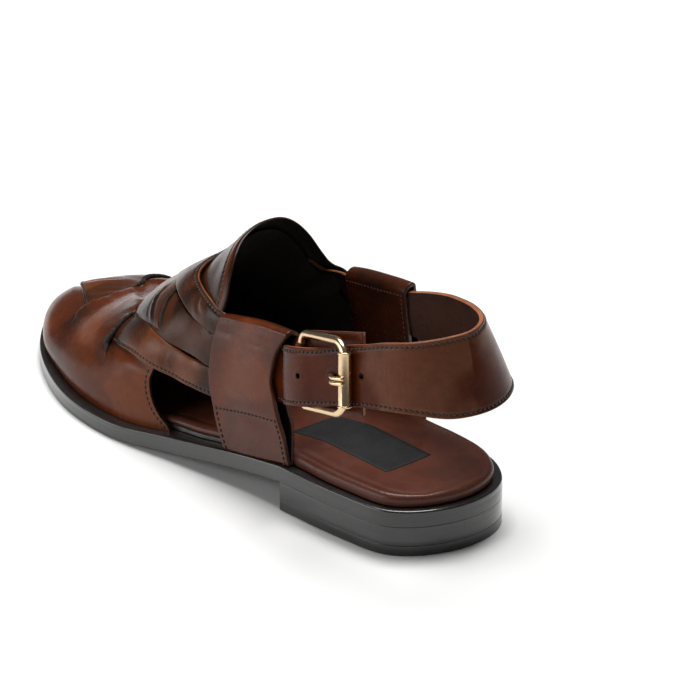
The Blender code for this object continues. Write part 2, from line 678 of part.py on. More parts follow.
def make_buckle():
    """Frame, roller and prong of the buckle, and the chape that holds them."""
    corners = [(HINGE, -1), (HINGE, 1), (CATCH, 1), (CATCH, -1)]
    posts = np.array([
        buckle_point(bar.run, bar.rise + sign * FRAME_HALF, bar.out) for bar, sign in corners
    ])
    path = []
    for here, before, after in zip(posts, np.roll(posts, 1, 0), np.roll(posts, -1, 0)):
        to_before = (before - here) / np.linalg.norm(before - here)
        to_after = (after - here) / np.linalg.norm(after - here)
        middle = here + (to_before + to_after) * FRAME_CORNER
        for angle in np.linspace(0, math.pi / 2, 6):
            path.append(middle - FRAME_CORNER * (to_after * math.cos(angle)
                                                 + to_before * math.sin(angle)))
    tube("buckle_frame", wire_rings(np.array(path), WIRE), "brass", closed=True)

    roller = tube("buckle_roller", bar_rings(CATCH, ROLLER_HALF, ROLLER_RADIUS), "brass")
    cut_away(roller, "roller_bore_cutter", bar_rings(CATCH, ROLLER_HALF + CUT_PAST, ROLLER_BORE))

    centre = np.array(PRONG_PATH[1:])
    run = np.gradient(centre, axis=0)
    run /= np.linalg.norm(run, axis=1)[:, None]
    beside = np.stack([-run[:, 1], run[:, 0]], 1) * PRONG_THICK / 2
    angles = np.radians(np.linspace(*HUB_ARC, 13))
    hub = np.stack([np.cos(angles), np.sin(angles)], 1) * PRONG_HUB + PRONG_PATH[0]
    outline = np.concatenate([hub, (centre - beside)[1:], (centre + beside)[:0:-1]])
    rise = np.interp(outline[:, 0], (HINGE.run, CATCH.run), (HINGE.rise, CATCH.rise))
    rings = [buckle_point(outline[:, 0], rise + end, outline[:, 1])
             for end in (-PRONG_HALF, PRONG_HALF)]
    prong = tube("buckle_prong", np.array(rings), "brass")
    bore = bar_rings(HINGE, PRONG_HALF + CUT_PAST, WIRE + PRONG_PLAY)
    cut_away(prong, "prong_bore_cutter", bore)

    depth = -(2 * GAP + STRAP_WALL)
    ribs = [entry_rib(entry, depth) for entry in OUTER_ENTRIES]
    ribs.append(np.array(STRAP[0]).reshape(2, 3) + (STRAP_WALL + 2 * GAP, 0, 0))
    ribs += [buckle_point(row.run, (row.low, row.high), row.out) for row in BACKING]
    chape = flat_strip("buckle_chape", along_ribs(np.array(ribs), np.linspace(0, 1, 18)),
                       CHAPE_WALL, "tan_leather")
    reach = WIRE + GAP + LOOP_WALL
    angles = np.linspace(0, math.pi, 9)
    foot = -CHAPE_WALL / 2 - reach
    loop = [(HINGE.run + reach + LOOP_FOOT, foot)]
    loop += [(HINGE.run + reach * math.cos(a), reach * math.sin(a)) for a in angles]
    loop += [(HINGE.run - reach - LOOP_FOOT, foot)]
    loop = np.array(loop)
    rings = np.array([
        buckle_point(loop[:, 0], HINGE.rise + end, HINGE.out + loop[:, 1])
        for end in (-LOOP_HALF, LOOP_HALF)
    ])
    loop_solid = tube("chape_loop", rings, "tan_leather")
    loop_solid.hide_render = True
    loop_solid.display_type = "WIRE"
    join = chape.modifiers.new("loop", "BOOLEAN")
    join.operation = "UNION"
    join.solver = "EXACT"
    join.object = loop_solid
    cut_away(chape, "chape_bore_cutter", bar_rings(HINGE, FRAME_HALF + CUT_PAST, WIRE + GAP))
    half_run, half_rise, half_out = PRONG_SLOT
    slot_run = HINGE.run + half_run * np.array((-1, 1, 1, -1))
    slot_out = HINGE.out + half_out * np.array((-1, -1, 1, 1))
    cut_away(chape, "chape_slot_cutter", [
        buckle_point(slot_run, HINGE.rise + end, slot_out) for end in (-half_rise, half_rise)
    ])


def main():
    for old in list(bpy.data.objects):
        bpy.data.objects.remove(old)
    make_sole()
    make_upper()
    make_tongue()
    make_side_band("lateral_side_band", OUTER)
    make_side_band("medial_side_band", INNER)
    make_heel_strap()
    make_buckle()


main()
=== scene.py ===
"""Looks of the peshawari chappal, left shoe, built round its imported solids.

Shapes are worked out in millimetres on the last: across (X, to the inner side of the
foot), along (from the back of the sole to the toe) and up. A place on the upper is
(along, turn): turn runs from -1 at the outer feather line, over 0 at the ridge, to +1 at
the inner feather line. A lift is a height over that surface.
"""

import math
from collections import namedtuple

import bmesh
import bpy
import numpy as np
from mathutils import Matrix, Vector


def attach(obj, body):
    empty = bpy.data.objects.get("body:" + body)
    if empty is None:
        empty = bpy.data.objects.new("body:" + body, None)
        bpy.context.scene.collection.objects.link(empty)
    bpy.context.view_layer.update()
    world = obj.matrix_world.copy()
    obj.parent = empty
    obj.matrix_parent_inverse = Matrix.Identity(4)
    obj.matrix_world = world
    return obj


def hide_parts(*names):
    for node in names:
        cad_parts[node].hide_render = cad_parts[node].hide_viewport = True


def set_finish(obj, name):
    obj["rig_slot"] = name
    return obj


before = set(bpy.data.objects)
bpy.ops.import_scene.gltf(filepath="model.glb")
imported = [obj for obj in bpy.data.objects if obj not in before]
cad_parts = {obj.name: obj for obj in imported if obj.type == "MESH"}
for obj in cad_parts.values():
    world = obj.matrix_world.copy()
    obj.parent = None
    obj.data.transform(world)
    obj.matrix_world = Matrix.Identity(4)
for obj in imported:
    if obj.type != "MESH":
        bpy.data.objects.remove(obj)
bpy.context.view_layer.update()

MM = 0.001
WELD = 2e-6  # metres within which points are one
SLIVER = 1e-7
OUTER = -1
INNER = 1


def rows_of(kind, *rows):
    """A table's rows, each with its numbers named."""
    return [kind(*row) for row in rows]


# ---------------------------------------------------------------- the last and the sole

HEEL_CENTRE = 36.0  # along, where the origin lies
BREAST = 74.5  # along, front face of the heel
HEEL_HEIGHT = 13.3
LIFT_THICK = 4.7
OUTSOLE_THICK = 7.3
BOARD_THICK = 1.8
FOOTBED_THICK = 2.8
GAP = 0.3

Corner = namedtuple("Corner", "across along")
OUTLINE = rows_of(
    Corner,
    (0, 0), (-18, 4.5), (-30.5, 15), (-36, 36), (-40, 66), (-43.3, 100), (-51, 140),
    (-59, 176), (-58.5, 208), (-50, 238), (-35.5, 265.5), (-16, 285.5), (5, 293),
    (24, 287.5), (39.5, 270), (48, 240), (48, 204), (40, 163), (32.5, 123), (34.6, 89),
    (36, 59), (36.5, 30), (29, 12), (17, 3),
)
Station = namedtuple("Station", "along value")


def stations(*rows):
    return rows_of(Station, *rows)


TREAD = stations((BREAST, HEEL_HEIGHT), (102.5, 9.2), (142.5, 3.8), (177, 0.2), (190, 0),
                 (242, 0), (264, 0.4), (293, 2.8))
FEATHER_INSET = stations((0, 5), (74, 4), (100, 3), (125, 3), (150, 5.3), (230, 5.3),
                         (262, 4), (293, 3.5))
BOARD_INSET = stations((0, 5.2), (50, 5.2), (68, 6.2), (126, 6.2), (146, 8.3), (230, 8.3),
                       (262, 8.3), (293, 10))
Section = namedtuple(
    "Section", "along ridge height outer_full inner_full outer_bulge inner_bulge"
)
SECTIONS = rows_of(
    Section,
    (60, 0, 101, 2.1, 2.2, 3, 3),
    (90, 0, 103, 2.1, 2.2, 2, 4),
    (115, 1, 99, 2.05, 2.4, 0, 6),
    (130, 2, 93.5, 2.05, 2.5, 0, 7),
    (142, 2, 86.5, 2.0, 2.4, 0, 6),
    (155, 2, 77.6, 2.0, 2.2, 1, 4),
    (172, 2, 66.2, 1.95, 2.1, 1.5, 2),
    (190, 2, 53.2, 1.9, 2.0, 2, 1),
    (212, 2, 38.2, 2.0, 2.0, 2.5, 1),
    (235, 2, 26.9, 2.1, 2.1, 3, 1),
    (250, 3, 23, 2.2, 2.1, 3, 1.5),
    (270, 4, 20.3, 2.3, 2.2, 2.5, 1.5),
    (290, 4, 15, 2.3, 2.2, 2, 1.5),
)
TOE_CLOSE = 250.0
TOE_ROUND = 0.6
BULGE_SHAPE = 0.8
# Steps for slopes of the last's surface, and how near its tip and feather line they stay.
STEP_ALONG = 0.5
STEP_TURN = 0.01
TIP_CLEAR = 0.6
TURN_LIMIT = 0.995


def between(start, end, rise, fall, part):
    """A smooth curve from start to end that leaves and arrives with the given slopes."""
    change = end - start
    bend = 3 * change - 2 * rise - fall
    return start + part * (rise + part * (bend + part * (rise + fall - 2 * change)))


def smooth(rows, column, at, key="along"):
    """A column's value between its rows, on a smooth curve that never overshoots them."""
    keys = np.array([getattr(row, key) for row in rows], float)
    values = np.array([getattr(row, column) for row in rows], float)
    step = np.diff(keys)
    slope = np.diff(values) / step
    before, after = slope[:-1], slope[1:]
    same_sign = before * after > 0
    total = np.where(same_sign, before + after, 1.0)
    middle = np.where(same_sign, 2 * before * after / total, 0.0)
    tangent = np.concatenate([slope[:1], middle, slope[-1:]])
    at = np.clip(np.asarray(at, float), keys[0], keys[-1])
    cell = np.clip(np.searchsorted(keys, at, side="right") - 1, 0, len(step) - 1)
    size = step[cell]
    return between(values[cell], values[cell + 1], tangent[cell] * size, tangent[cell + 1] * size,
                   (at - keys[cell]) / size)


def value_at(rows, along):
    return smooth(rows, "value", along)


def line_at(rows, turn):
    """How far along the last a line drawn over it lies at each turn."""
    return smooth(rows, "along", turn, key="turn")


def closed_curve(corners, count=720):
    """Points on a smooth closed curve through the corners."""
    points = np.array(corners, float)
    reach = np.linalg.norm(np.roll(points, -1, 0) - points, axis=1)
    place = np.concatenate([[0], np.cumsum(reach)])
    chord = np.roll(points, -1, 0) - np.roll(points, 1, 0)
    tangent = chord / (reach + np.roll(reach, 1))[:, None]
    at = np.linspace(0, place[-1], count, endpoint=False)
    cell = np.searchsorted(place, at, side="right") - 1
    size = reach[cell][:, None]
    following = (cell + 1) % len(points)
    return between(points[cell], points[following], tangent[cell] * size,
                   tangent[following] * size, (at - place[cell])[:, None] / size)


def inset_curve(curve, inset):
    """The closed curve moved inwards by the inset at each of its points."""
    run = np.roll(curve, -1, 0) - np.roll(curve, 1, 0)
    run /= np.linalg.norm(run, axis=1)[:, None]
    inward = np.stack([run[:, 1], -run[:, 0]], 1)
    return curve + inward * np.broadcast_to(inset, len(curve))[:, None]


SOLE_CURVE = closed_curve(OUTLINE)
FEATHER_CURVE = inset_curve(SOLE_CURVE, value_at(FEATHER_INSET, SOLE_CURVE[:, 1]))
TOE_TIP = float(FEATHER_CURVE[:, 1].max())


def sides(curve, along):
    """Across of the curve's outer and inner side at each place along it."""
    toe = int(curve[:, 1].argmax())
    outer = curve[: toe + 1]
    inner = np.concatenate([curve[toe:], curve[:1]])[::-1]
    outer_x = np.interp(along, np.maximum.accumulate(outer[:, 1]), outer[:, 0])
    inner_x = np.interp(along, np.maximum.accumulate(inner[:, 1]), inner[:, 0])
    return outer_x, inner_x


def ledge_height(along):
    """Top of the outsole, which the upper stands on."""
    return value_at(TREAD, along) + OUTSOLE_THICK


def arch(along, turn):
    """Surface of the last that the upper follows, as points (across, along, up)."""
    along, turn = np.broadcast_arrays(np.asarray(along, float), np.asarray(turn, float))
    outer_x, inner_x = sides(FEATHER_CURVE, along)
    ridge = smooth(SECTIONS, "ridge", along)
    closing = np.clip((along - TOE_CLOSE) / (TOE_TIP - TOE_CLOSE), 0, 1)
    height = smooth(SECTIONS, "height", along) * (1 - closing**2) ** TOE_ROUND
    is_outer = turn < 0
    full, bulge = (
        np.where(is_outer, smooth(SECTIONS, "outer_" + form, along),
                 smooth(SECTIONS, "inner_" + form, along))
        for form in ("full", "bulge")
    )
    width = np.where(is_outer, ridge - outer_x, inner_x - ridge)
    angle = np.abs(turn) * math.pi / 2
    rise = np.clip(np.cos(angle), 0, 1) ** (2 / full)
    reach = np.sin(angle) ** (2 / full)
    bulge = bulge * np.sqrt(1 - closing)
    swell = bulge * np.sin(math.pi * rise**BULGE_SHAPE)
    across = ridge + np.sign(turn) * (width * reach + swell)
    return np.stack([across, along, ledge_height(along) + height * rise], -1)


def outward(along, turn):
    """Unit normals of the last's surface, pointing out of the foot."""
    along, turn = np.broadcast_arrays(np.asarray(along, float), np.asarray(turn, float))
    near = np.minimum(along, TOE_TIP - TIP_CLEAR)
    back, front = arch(near - STEP_ALONG, turn), arch(near + STEP_ALONG, turn)
    low, high = (arch(near, np.clip(turn + step, -TURN_LIMIT, TURN_LIMIT))
                 for step in (-STEP_TURN, STEP_TURN))
    normal = np.cross(high - low, front - back)
    return normal / np.linalg.norm(normal, axis=-1, keepdims=True)


def skin(along, turn, lift):
    """Points at a height over (or depth under) the last's surface."""
    return arch(along, turn) + outward(along, turn) * np.asarray(lift, float)[..., None]


def ease(value):
    """0 below 0, 1 above 1, and a smooth step between."""
    value = np.clip(value, 0, 1)
    return value * value * (3 - 2 * value)


def bell(distance, width):
    """1 at no distance, falling smoothly to nothing a few widths away."""
    return np.exp(-((distance / width) ** 2))


def on_ledge(points, over=0.1):
    """Points no lower than just over the outsole."""
    points[..., 2] = np.maximum(points[..., 2], ledge_height(points[..., 1]) + over)
    return points


# ---------------------------------------------------------------- turning points to pieces

def through(rows, count, place=None):
    """Rows spaced evenly on a smooth curve through the given rows of numbers."""
    rows = np.asarray(rows, float)
    spots = rows if place is None else np.asarray(place, float)
    reach = np.concatenate([[0], np.cumsum(np.linalg.norm(np.diff(spots, axis=0), axis=-1))])
    tangent = np.gradient(rows, reach, axis=0)
    at = np.linspace(0, reach[-1], count)
    cell = np.clip(np.searchsorted(reach, at, side="right") - 1, 0, len(reach) - 2)
    shape = (-1,) + (1,) * (rows.ndim - 1)
    step = (reach[cell + 1] - reach[cell]).reshape(shape)
    part = (at - reach[cell]).reshape(shape) / step
    return between(rows[cell], rows[cell + 1], tangent[cell] * step, tangent[cell + 1] * step, part)


def grid_faces(rows, columns, start=0, loop=False, ring=False):
    """Quads of a grid; ring joins its last column to its first, loop its last row."""
    faces = []
    for row in range(rows if loop else rows - 1):
        below = (row + 1) % rows
        for column in range(columns if ring else columns - 1):
            beside = (column + 1) % columns
            faces.append((start + row * columns + column, start + row * columns + beside,
                          start + below * columns + beside, start + below * columns + column))
    return faces


def make_mesh(name, points, faces, materials, slots=None, layers=None, turn_out=True):
    """One object from points in millimetres on the last.

    slots gives each face's material, and layers a number for each point by name."""
    points = np.asarray(points, float).reshape(-1, 3)
    shifted = (points - (0, HEEL_CENTRE, 0)) * MM
    mesh = bpy.data.meshes.new(name)
    mesh.from_pydata(shifted.tolist(), [], [tuple(int(i) for i in face) for face in faces])
    if slots is not None:
        mesh.polygons.foreach_set("material_index", np.asarray(slots, np.int32))
    for label, values in (layers or {}).items():
        layer = mesh.attributes.new(label, "FLOAT", "POINT")
        layer.data.foreach_set("value", np.asarray(values, np.float32).ravel())
    body = bmesh.new()
    body.from_mesh(mesh)
    bmesh.ops.remove_doubles(body, verts=body.verts, dist=WELD)
    bmesh.ops.dissolve_degenerate(body, edges=body.edges, dist=SLIVER)
    if turn_out:
        bmesh.ops.recalc_face_normals(body, faces=body.faces)
    body.to_mesh(mesh)
    body.free()
    for material in materials:
        mesh.materials.append(material)
    mesh.shade_smooth()
    piece = bpy.data.objects.new(name, mesh)
    bpy.context.scene.collection.objects.link(piece)
    return piece


def settle(piece, slot, *nodes):
    """A finished piece rides on the shoe, takes its slot and stands for its CAD nodes."""
    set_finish(piece, slot)
    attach(piece, "root")
    if nodes:
        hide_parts(*nodes)
    return piece


def baked(piece):
    """The piece with its modifiers worked into its mesh."""
    bpy.context.view_layer.update()
    graph = bpy.context.evaluated_depsgraph_get()
    done = bpy.data.meshes.new_from_object(piece.evaluated_get(graph))
    piece.modifiers.clear()
    old = piece.data
    if piece.type == "MESH":
        piece.data = done
        done.name = piece.name
        bpy.data.meshes.remove(old)
        return piece
    made = bpy.data.objects.new(piece.name + "_mesh", done)
    bpy.context.scene.collection.objects.link(made)
    name = piece.name
    bpy.data.objects.remove(piece)
    made.name = name
    return made


def thicken(piece, thick, edge_round, segments):
    """Gives a sheet its wall inwards, with rounded edges.

    Its materials are those of its face, its cut edge and its inside."""
    wall = piece.modifiers.new("wall", "SOLIDIFY")
    wall.thickness = thick * MM
    wall.offset = -1
    wall.use_even_offset = True
    wall.thickness_clamp = 1.0
    wall.material_offset_rim = 1
    wall.material_offset = 2
    edges = piece.modifiers.new("edges", "BEVEL")
    edges.width = edge_round * MM
    edges.segments = segments
    edges.limit_method = "ANGLE"
    edges.angle_limit = math.radians(55)
    return baked(piece)


def walled(name, outer, inner, faces, materials, layers):
    """A closed wall from an outer and an inner face; coincident edges of its sheets are one."""
    outer, inner = np.asarray(outer, float), np.asarray(inner, float)
    _, first, merged = np.unique(np.round(outer, 3), axis=0, return_index=True,
                                 return_inverse=True)
    merged = merged.reshape(-1)
    count = len(first)
    kept, edges = [], {}
    for face in faces:
        ring = [int(merged[corner]) for corner in face]
        ring = [corner for place, corner in enumerate(ring) if corner != ring[place - 1]]
        if len(ring) < 3:
            continue
        kept.append(tuple(ring))
        for start, end in zip(ring, ring[1:] + ring[:1]):
            edges.setdefault((min(start, end), max(start, end)), []).append((start, end))
    rims = [uses[0] for uses in edges.values() if len(uses) == 1]
    every = kept + [tuple(corner + count for corner in reversed(face)) for face in kept]
    every += [(end, start, start + count, end + count) for start, end in rims]
    slots = [0] * len(kept) + [2] * len(kept) + [1] * len(rims)
    both = {label: np.tile(np.asarray(values).ravel()[first], 2)
            for label, values in layers.items()}
    points = np.concatenate([outer[first], inner[first]])
    piece = make_mesh(name, points, every, materials, slots, both, turn_out=False)
    piece.data.set_sharp_from_angle(angle=math.radians(60))
    return piece


# ---------------------------------------------------------------- finishes

def group_tree(name, inputs, outputs):
    """An empty shader group with named inputs and outputs."""
    tree = bpy.data.node_groups.new(name, "ShaderNodeTree")
    for label, kind, value in inputs:
        socket = tree.interface.new_socket(label, in_out="INPUT", socket_type=kind)
        socket.default_value = value
    for label, kind in outputs:
        tree.interface.new_socket(label, in_out="OUTPUT", socket_type=kind)
    return tree, tree.nodes.new("NodeGroupInput"), tree.nodes.new("NodeGroupOutput")


def plug(tree, made, *links):
    """Feeds a node; links are (input, source socket or value)."""
    for where, source in links:
        if isinstance(source, bpy.types.NodeSocket):
            tree.links.new(source, made.inputs[where])
        else:
            made.inputs[where].default_value = source


def node(tree, kind, links=(), **settings):
    """A node with its settings, fed by its links."""
    made = tree.nodes.new(kind)
    for label, value in settings.items():
        setattr(made, label, value)
    plug(tree, made, *links)
    return made


def plus(tree, a, b, clamp=False):
    return node(tree, "ShaderNodeMath", [(0, a), (1, b)], operation="ADD",
                use_clamp=clamp).outputs[0]


def times(tree, a, b):
    return node(tree, "ShaderNodeMath", [(0, a), (1, b)], operation="MULTIPLY").outputs[0]


def blend_colour(tree, share, a, b):
    return node(tree, "ShaderNodeMix", [(0, share), (6, a), (7, b)], data_type="RGBA").outputs[2]


def own_place(tree):
    return node(tree, "ShaderNodeTexCoord").outputs["Object"]


def painted(tree, layer):
    return node(tree, "ShaderNodeAttribute", attribute_name=layer).outputs["Fac"]


def noise(tree, vector, scale, detail, roughness):
    return node(tree, "ShaderNodeTexNoise", [("Vector", vector), ("Scale", scale),
                ("Detail", detail), ("Roughness", roughness)]).outputs["Fac"]


def spread_between(tree, source, low, high):
    return node(tree, "ShaderNodeMapRange", [(0, source), (3, low), (4, high)]).outputs[0]


def ramp(tree, source, low, high):
    """The source stretched so that low becomes 0 and high becomes 1, smoothly."""
    made = node(tree, "ShaderNodeMapRange", [(0, source), (1, low), (2, high), (3, 0.0), (4, 1.0)],
                interpolation_type="SMOOTHSTEP")
    return made.outputs[0]


def burnish_and_shade_group():
    """Hand-burnished colour: clouds of dark wax, darker towards edges; the shade layer paints shade
    in laps and painted highlights.
    """
    colour, number = "NodeSocketColor", "NodeSocketFloat"
    tree, given, out = group_tree(
        "burnish_and_shade",
        [("Tan", colour, (0.2, 0.06, 0.03, 1)), ("Dark", colour, (0.04, 0.02, 0.015, 1)),
         ("Glow", colour, (0.36, 0.12, 0.05, 1)), ("Patch Size", number, 30.0),
         ("Darkness", number, 0.5), ("Rim Darkness", number, 0.35)],
        [("Colour", colour), ("Wax And Shade", number)],
    )
    place = own_place(tree)
    warp = node(tree, "ShaderNodeTexNoise", [("Vector", place), ("Scale", 22.0), ("Detail", 2.0)])
    shift = node(tree, "ShaderNodeVectorMath", [(0, warp.outputs["Color"]), (1, (0.03,) * 3)],
                 operation="MULTIPLY").outputs[0]
    moved = node(tree, "ShaderNodeVectorMath", [(0, place), (1, shift)], operation="ADD").outputs[0]
    clouds = noise(tree, moved, given.outputs["Patch Size"], 4.0, 0.55)
    fine = noise(tree, moved, 260.0, 4.0, 0.6)
    rim = painted(tree, "rim")
    shade = painted(tree, "shade")
    cloud_mask = ramp(tree, plus(tree, clouds, times(tree, fine, 0.12)), 0.50, 0.74)
    wax_and_shade = times(tree, cloud_mask, given.outputs["Darkness"])
    wax_and_shade = plus(tree, wax_and_shade, times(tree, rim, given.outputs["Rim Darkness"]))
    # The shade layer adds painted shade here; where it is negative it pulls towards the glow colour
    # below as a painted highlight.
    wax_and_shade = plus(tree, wax_and_shade, shade, clamp=True)
    light = plus(tree, noise(tree, place, 34.0, 3.0, 0.5), times(tree, shade, -0.8))
    light = ramp(tree, light, 0.50, 0.72)
    base = blend_colour(tree, times(tree, light, 0.55), given.outputs["Tan"],
                        given.outputs["Glow"])
    mottle = ramp(tree, fine, 0.3, 0.7)
    base = blend_colour(tree, times(tree, mottle, 0.18), base, given.outputs["Dark"])
    result = blend_colour(tree, wax_and_shade, base, given.outputs["Dark"])
    plug(tree, out, ("Colour", result), ("Wax And Shade", wax_and_shade))
    return tree


def grain_group():
    """Height of polished calf: faint pores, fine drag lines and soft waves."""
    number = "NodeSocketFloat"
    tree, given, out = group_tree(
        "grain",
        [("Pore Scale", number, 1500.0), ("Pores", number, 0.3), ("Waves", number, 1.0)],
        [("Height", number), ("Rubbed", number)],
    )
    place = own_place(tree)
    pores = node(tree, "ShaderNodeTexVoronoi",
                 [("Vector", place), ("Scale", given.outputs["Pore Scale"])]).outputs["Distance"]
    waves = noise(tree, place, 120.0, 2.0, 0.5)
    slow = noise(tree, place, 45.0, 1.0, 0.4)
    height = times(tree, pores, given.outputs["Pores"])
    both = plus(tree, times(tree, waves, 0.15), times(tree, slow, 0.4))
    height = plus(tree, height, times(tree, both, given.outputs["Waves"]))
    rubbed = ramp(tree, noise(tree, place, 110.0, 3.0, 0.5), 0.35, 0.75)
    plug(tree, out, ("Height", height), ("Rubbed", rubbed))
    return tree


BURNISH_AND_SHADE = burnish_and_shade_group()
GRAIN = grain_group()


def new_material(name):
    material = bpy.data.materials.new(name)
    material.use_nodes = True
    tree = material.node_tree
    return material, tree, tree.nodes["Principled BSDF"]


def place_group(tree, group, **values):
    made = tree.nodes.new("ShaderNodeGroup")
    made.node_tree = group
    for label, value in values.items():
        made.inputs[label.replace("_", " ")].default_value = value
    return made


def bumped(tree, height, distance, strength=1.0):
    return node(tree, "ShaderNodeBump", [("Height", height), ("Distance", distance),
                                         ("Strength", strength)]).outputs[0]


RIM_DARKNESS = 0.15


def leather(name, tan, dark, glow, patch=30.0, darkness=0.5, gloss=0.24, coat=0.06, pores=0.3,
            waves=1.0, gleam=0.22):
    """Polished, hand-burnished leather, with painted shade and painted highlights from each piece's
    shade layer.
    """
    material, tree, shader = new_material(name)
    burnish_and_shade = place_group(tree, BURNISH_AND_SHADE, Tan=(*tan, 1), Dark=(*dark, 1), Glow=(*glow, 1),
                          Patch_Size=patch, Darkness=darkness, Rim_Darkness=RIM_DARKNESS)
    grain = place_group(tree, GRAIN, Pores=pores, Waves=waves)
    rough = spread_between(tree, grain.outputs["Rubbed"], gloss - 0.03, gloss + 0.07)
    plug(tree, shader, ("Base Color", burnish_and_shade.outputs["Colour"]), ("Roughness", rough),
         ("Coat Weight", coat), ("Coat Roughness", 0.2), ("Specular IOR Level", gleam),
         ("Normal", bumped(tree, grain.outputs["Height"], 0.0004, 0.3)))
    return material


def speckled(name, colour, second, scale, rough, bump=0.0002, metallic=0.0, coat=0.0,
             spread=0.15, gleam=0.5):
    """A plain finish with fine variation in colour, roughness and height."""
    material, tree, shader = new_material(name)
    place = own_place(tree)
    grit = noise(tree, place, scale, 5.0, 0.6)
    cloud = noise(tree, place, scale / 9, 3.0, 0.5)
    mask = plus(tree, times(tree, grit, 0.5), times(tree, cloud, 0.5))
    mask = ramp(tree, mask, 0.35, 0.65)
    plug(tree, shader, ("Base Color", blend_colour(tree, mask, (*colour, 1), (*second, 1))),
         ("Roughness", spread_between(tree, grit, rough - spread / 2, rough + spread / 2)),
         ("Metallic", metallic), ("Specular IOR Level", gleam), ("Coat Weight", coat),
         ("Normal", bumped(tree, grit, bump)))
    return material


TAN, DARK, GLOW = (0.088, 0.0195, 0.006), (0.018, 0.0065, 0.0035), (0.19, 0.050, 0.015)
VAMP_LEATHER = leather("vamp_leather", TAN, DARK, GLOW, darkness=0.4, coat=0.03, pores=0.2,
                       waves=0.3, gleam=0.13)
STRAP_LEATHER = leather("weave_strap_leather", (0.064, 0.018, 0.0065), DARK, (0.18, 0.050, 0.015),
                        patch=48.0, darkness=1.0, coat=0.04, gleam=0.16)
BAND_LEATHER = leather("side_band_leather", (0.085, 0.017, 0.0045), DARK, (0.17, 0.040, 0.009),
                       darkness=0.4)
# The heel strap's greyish glow colour is also its painted highlight towards the heel's corner.
HEEL_LEATHER = leather("heel_strap_leather", (0.078, 0.014, 0.0033), DARK, (0.20, 0.082, 0.045),
                       darkness=0.5, coat=0.03, gleam=0.12)
TONGUE_LEATHER = leather("tongue_leather", (0.034, 0.010, 0.0045), DARK, (0.13, 0.032, 0.009),
                         darkness=0.5, coat=0.04, gleam=0.16)
RAW_TAN = speckled("raw_tan_edge", (0.36, 0.125, 0.045), (0.18, 0.06, 0.025), 900.0, 0.4,
                   bump=0.0003)
RAW_DARK = speckled("raw_dark_edge", (0.020, 0.010, 0.007), (0.006, 0.004, 0.003), 800.0, 0.5,
                    bump=0.0006, gleam=0.25)
RAW_BROWN = speckled("raw_brown_edge", (0.13, 0.045, 0.024), (0.05, 0.02, 0.013), 900.0, 0.5,
                     bump=0.0003)
LINING = speckled("lining_leather", (0.010, 0.007, 0.006), (0.006, 0.005, 0.004), 500.0, 0.65,
                  bump=0.0002, gleam=0.25)
LINING_BROWN = speckled("lining_brown", (0.055, 0.018, 0.010), (0.03, 0.011, 0.008), 500.0, 0.42,
                        bump=0.0002)
TAN_THREAD = speckled("tan_thread", (0.20, 0.075, 0.035), (0.10, 0.035, 0.018), 1200.0, 0.5)
THREAD = speckled("waxed_thread", (0.015, 0.010, 0.009), (0.035, 0.022, 0.016), 1200.0, 0.5)
SOCK_LEATHER = leather("sock_leather", (0.092, 0.026, 0.014), (0.032, 0.012, 0.009),
                       (0.13, 0.042, 0.021), darkness=0.5, gloss=0.36, coat=0.15, pores=0.5)
SOLE_EDGE = speckled("sole_edge_wax", (0.012, 0.011, 0.011), (0.020, 0.018, 0.017), 300.0, 0.24,
                     bump=0.00012, coat=0.5, spread=0.12)
HEEL_EDGE = speckled("heel_edge_wax", (0.010, 0.009, 0.009), (0.017, 0.015, 0.014), 260.0, 0.2,
                     bump=0.00015, coat=0.6, spread=0.1)
LIFT_RUBBER = speckled("top_lift_rubber", (0.011, 0.010, 0.010), (0.018, 0.017, 0.016), 500.0,
                       0.3, bump=0.0001, coat=0.3)
BOARD_FINISH = speckled("board_edge_wax", (0.05, 0.042, 0.037), (0.025, 0.02, 0.018), 300.0, 0.3)
GOLD = speckled("pale_gold_plate", (0.80, 0.60, 0.38), (0.72, 0.52, 0.31), 700.0, 0.22,
                bump=0.00001, metallic=1.0, spread=0.08)
LABEL_CLOTH = speckled("label_weave", (0.006, 0.006, 0.007), (0.012, 0.012, 0.013), 900.0, 0.6,
                       gleam=0.2)


# ---------------------------------------------------------------- stitches

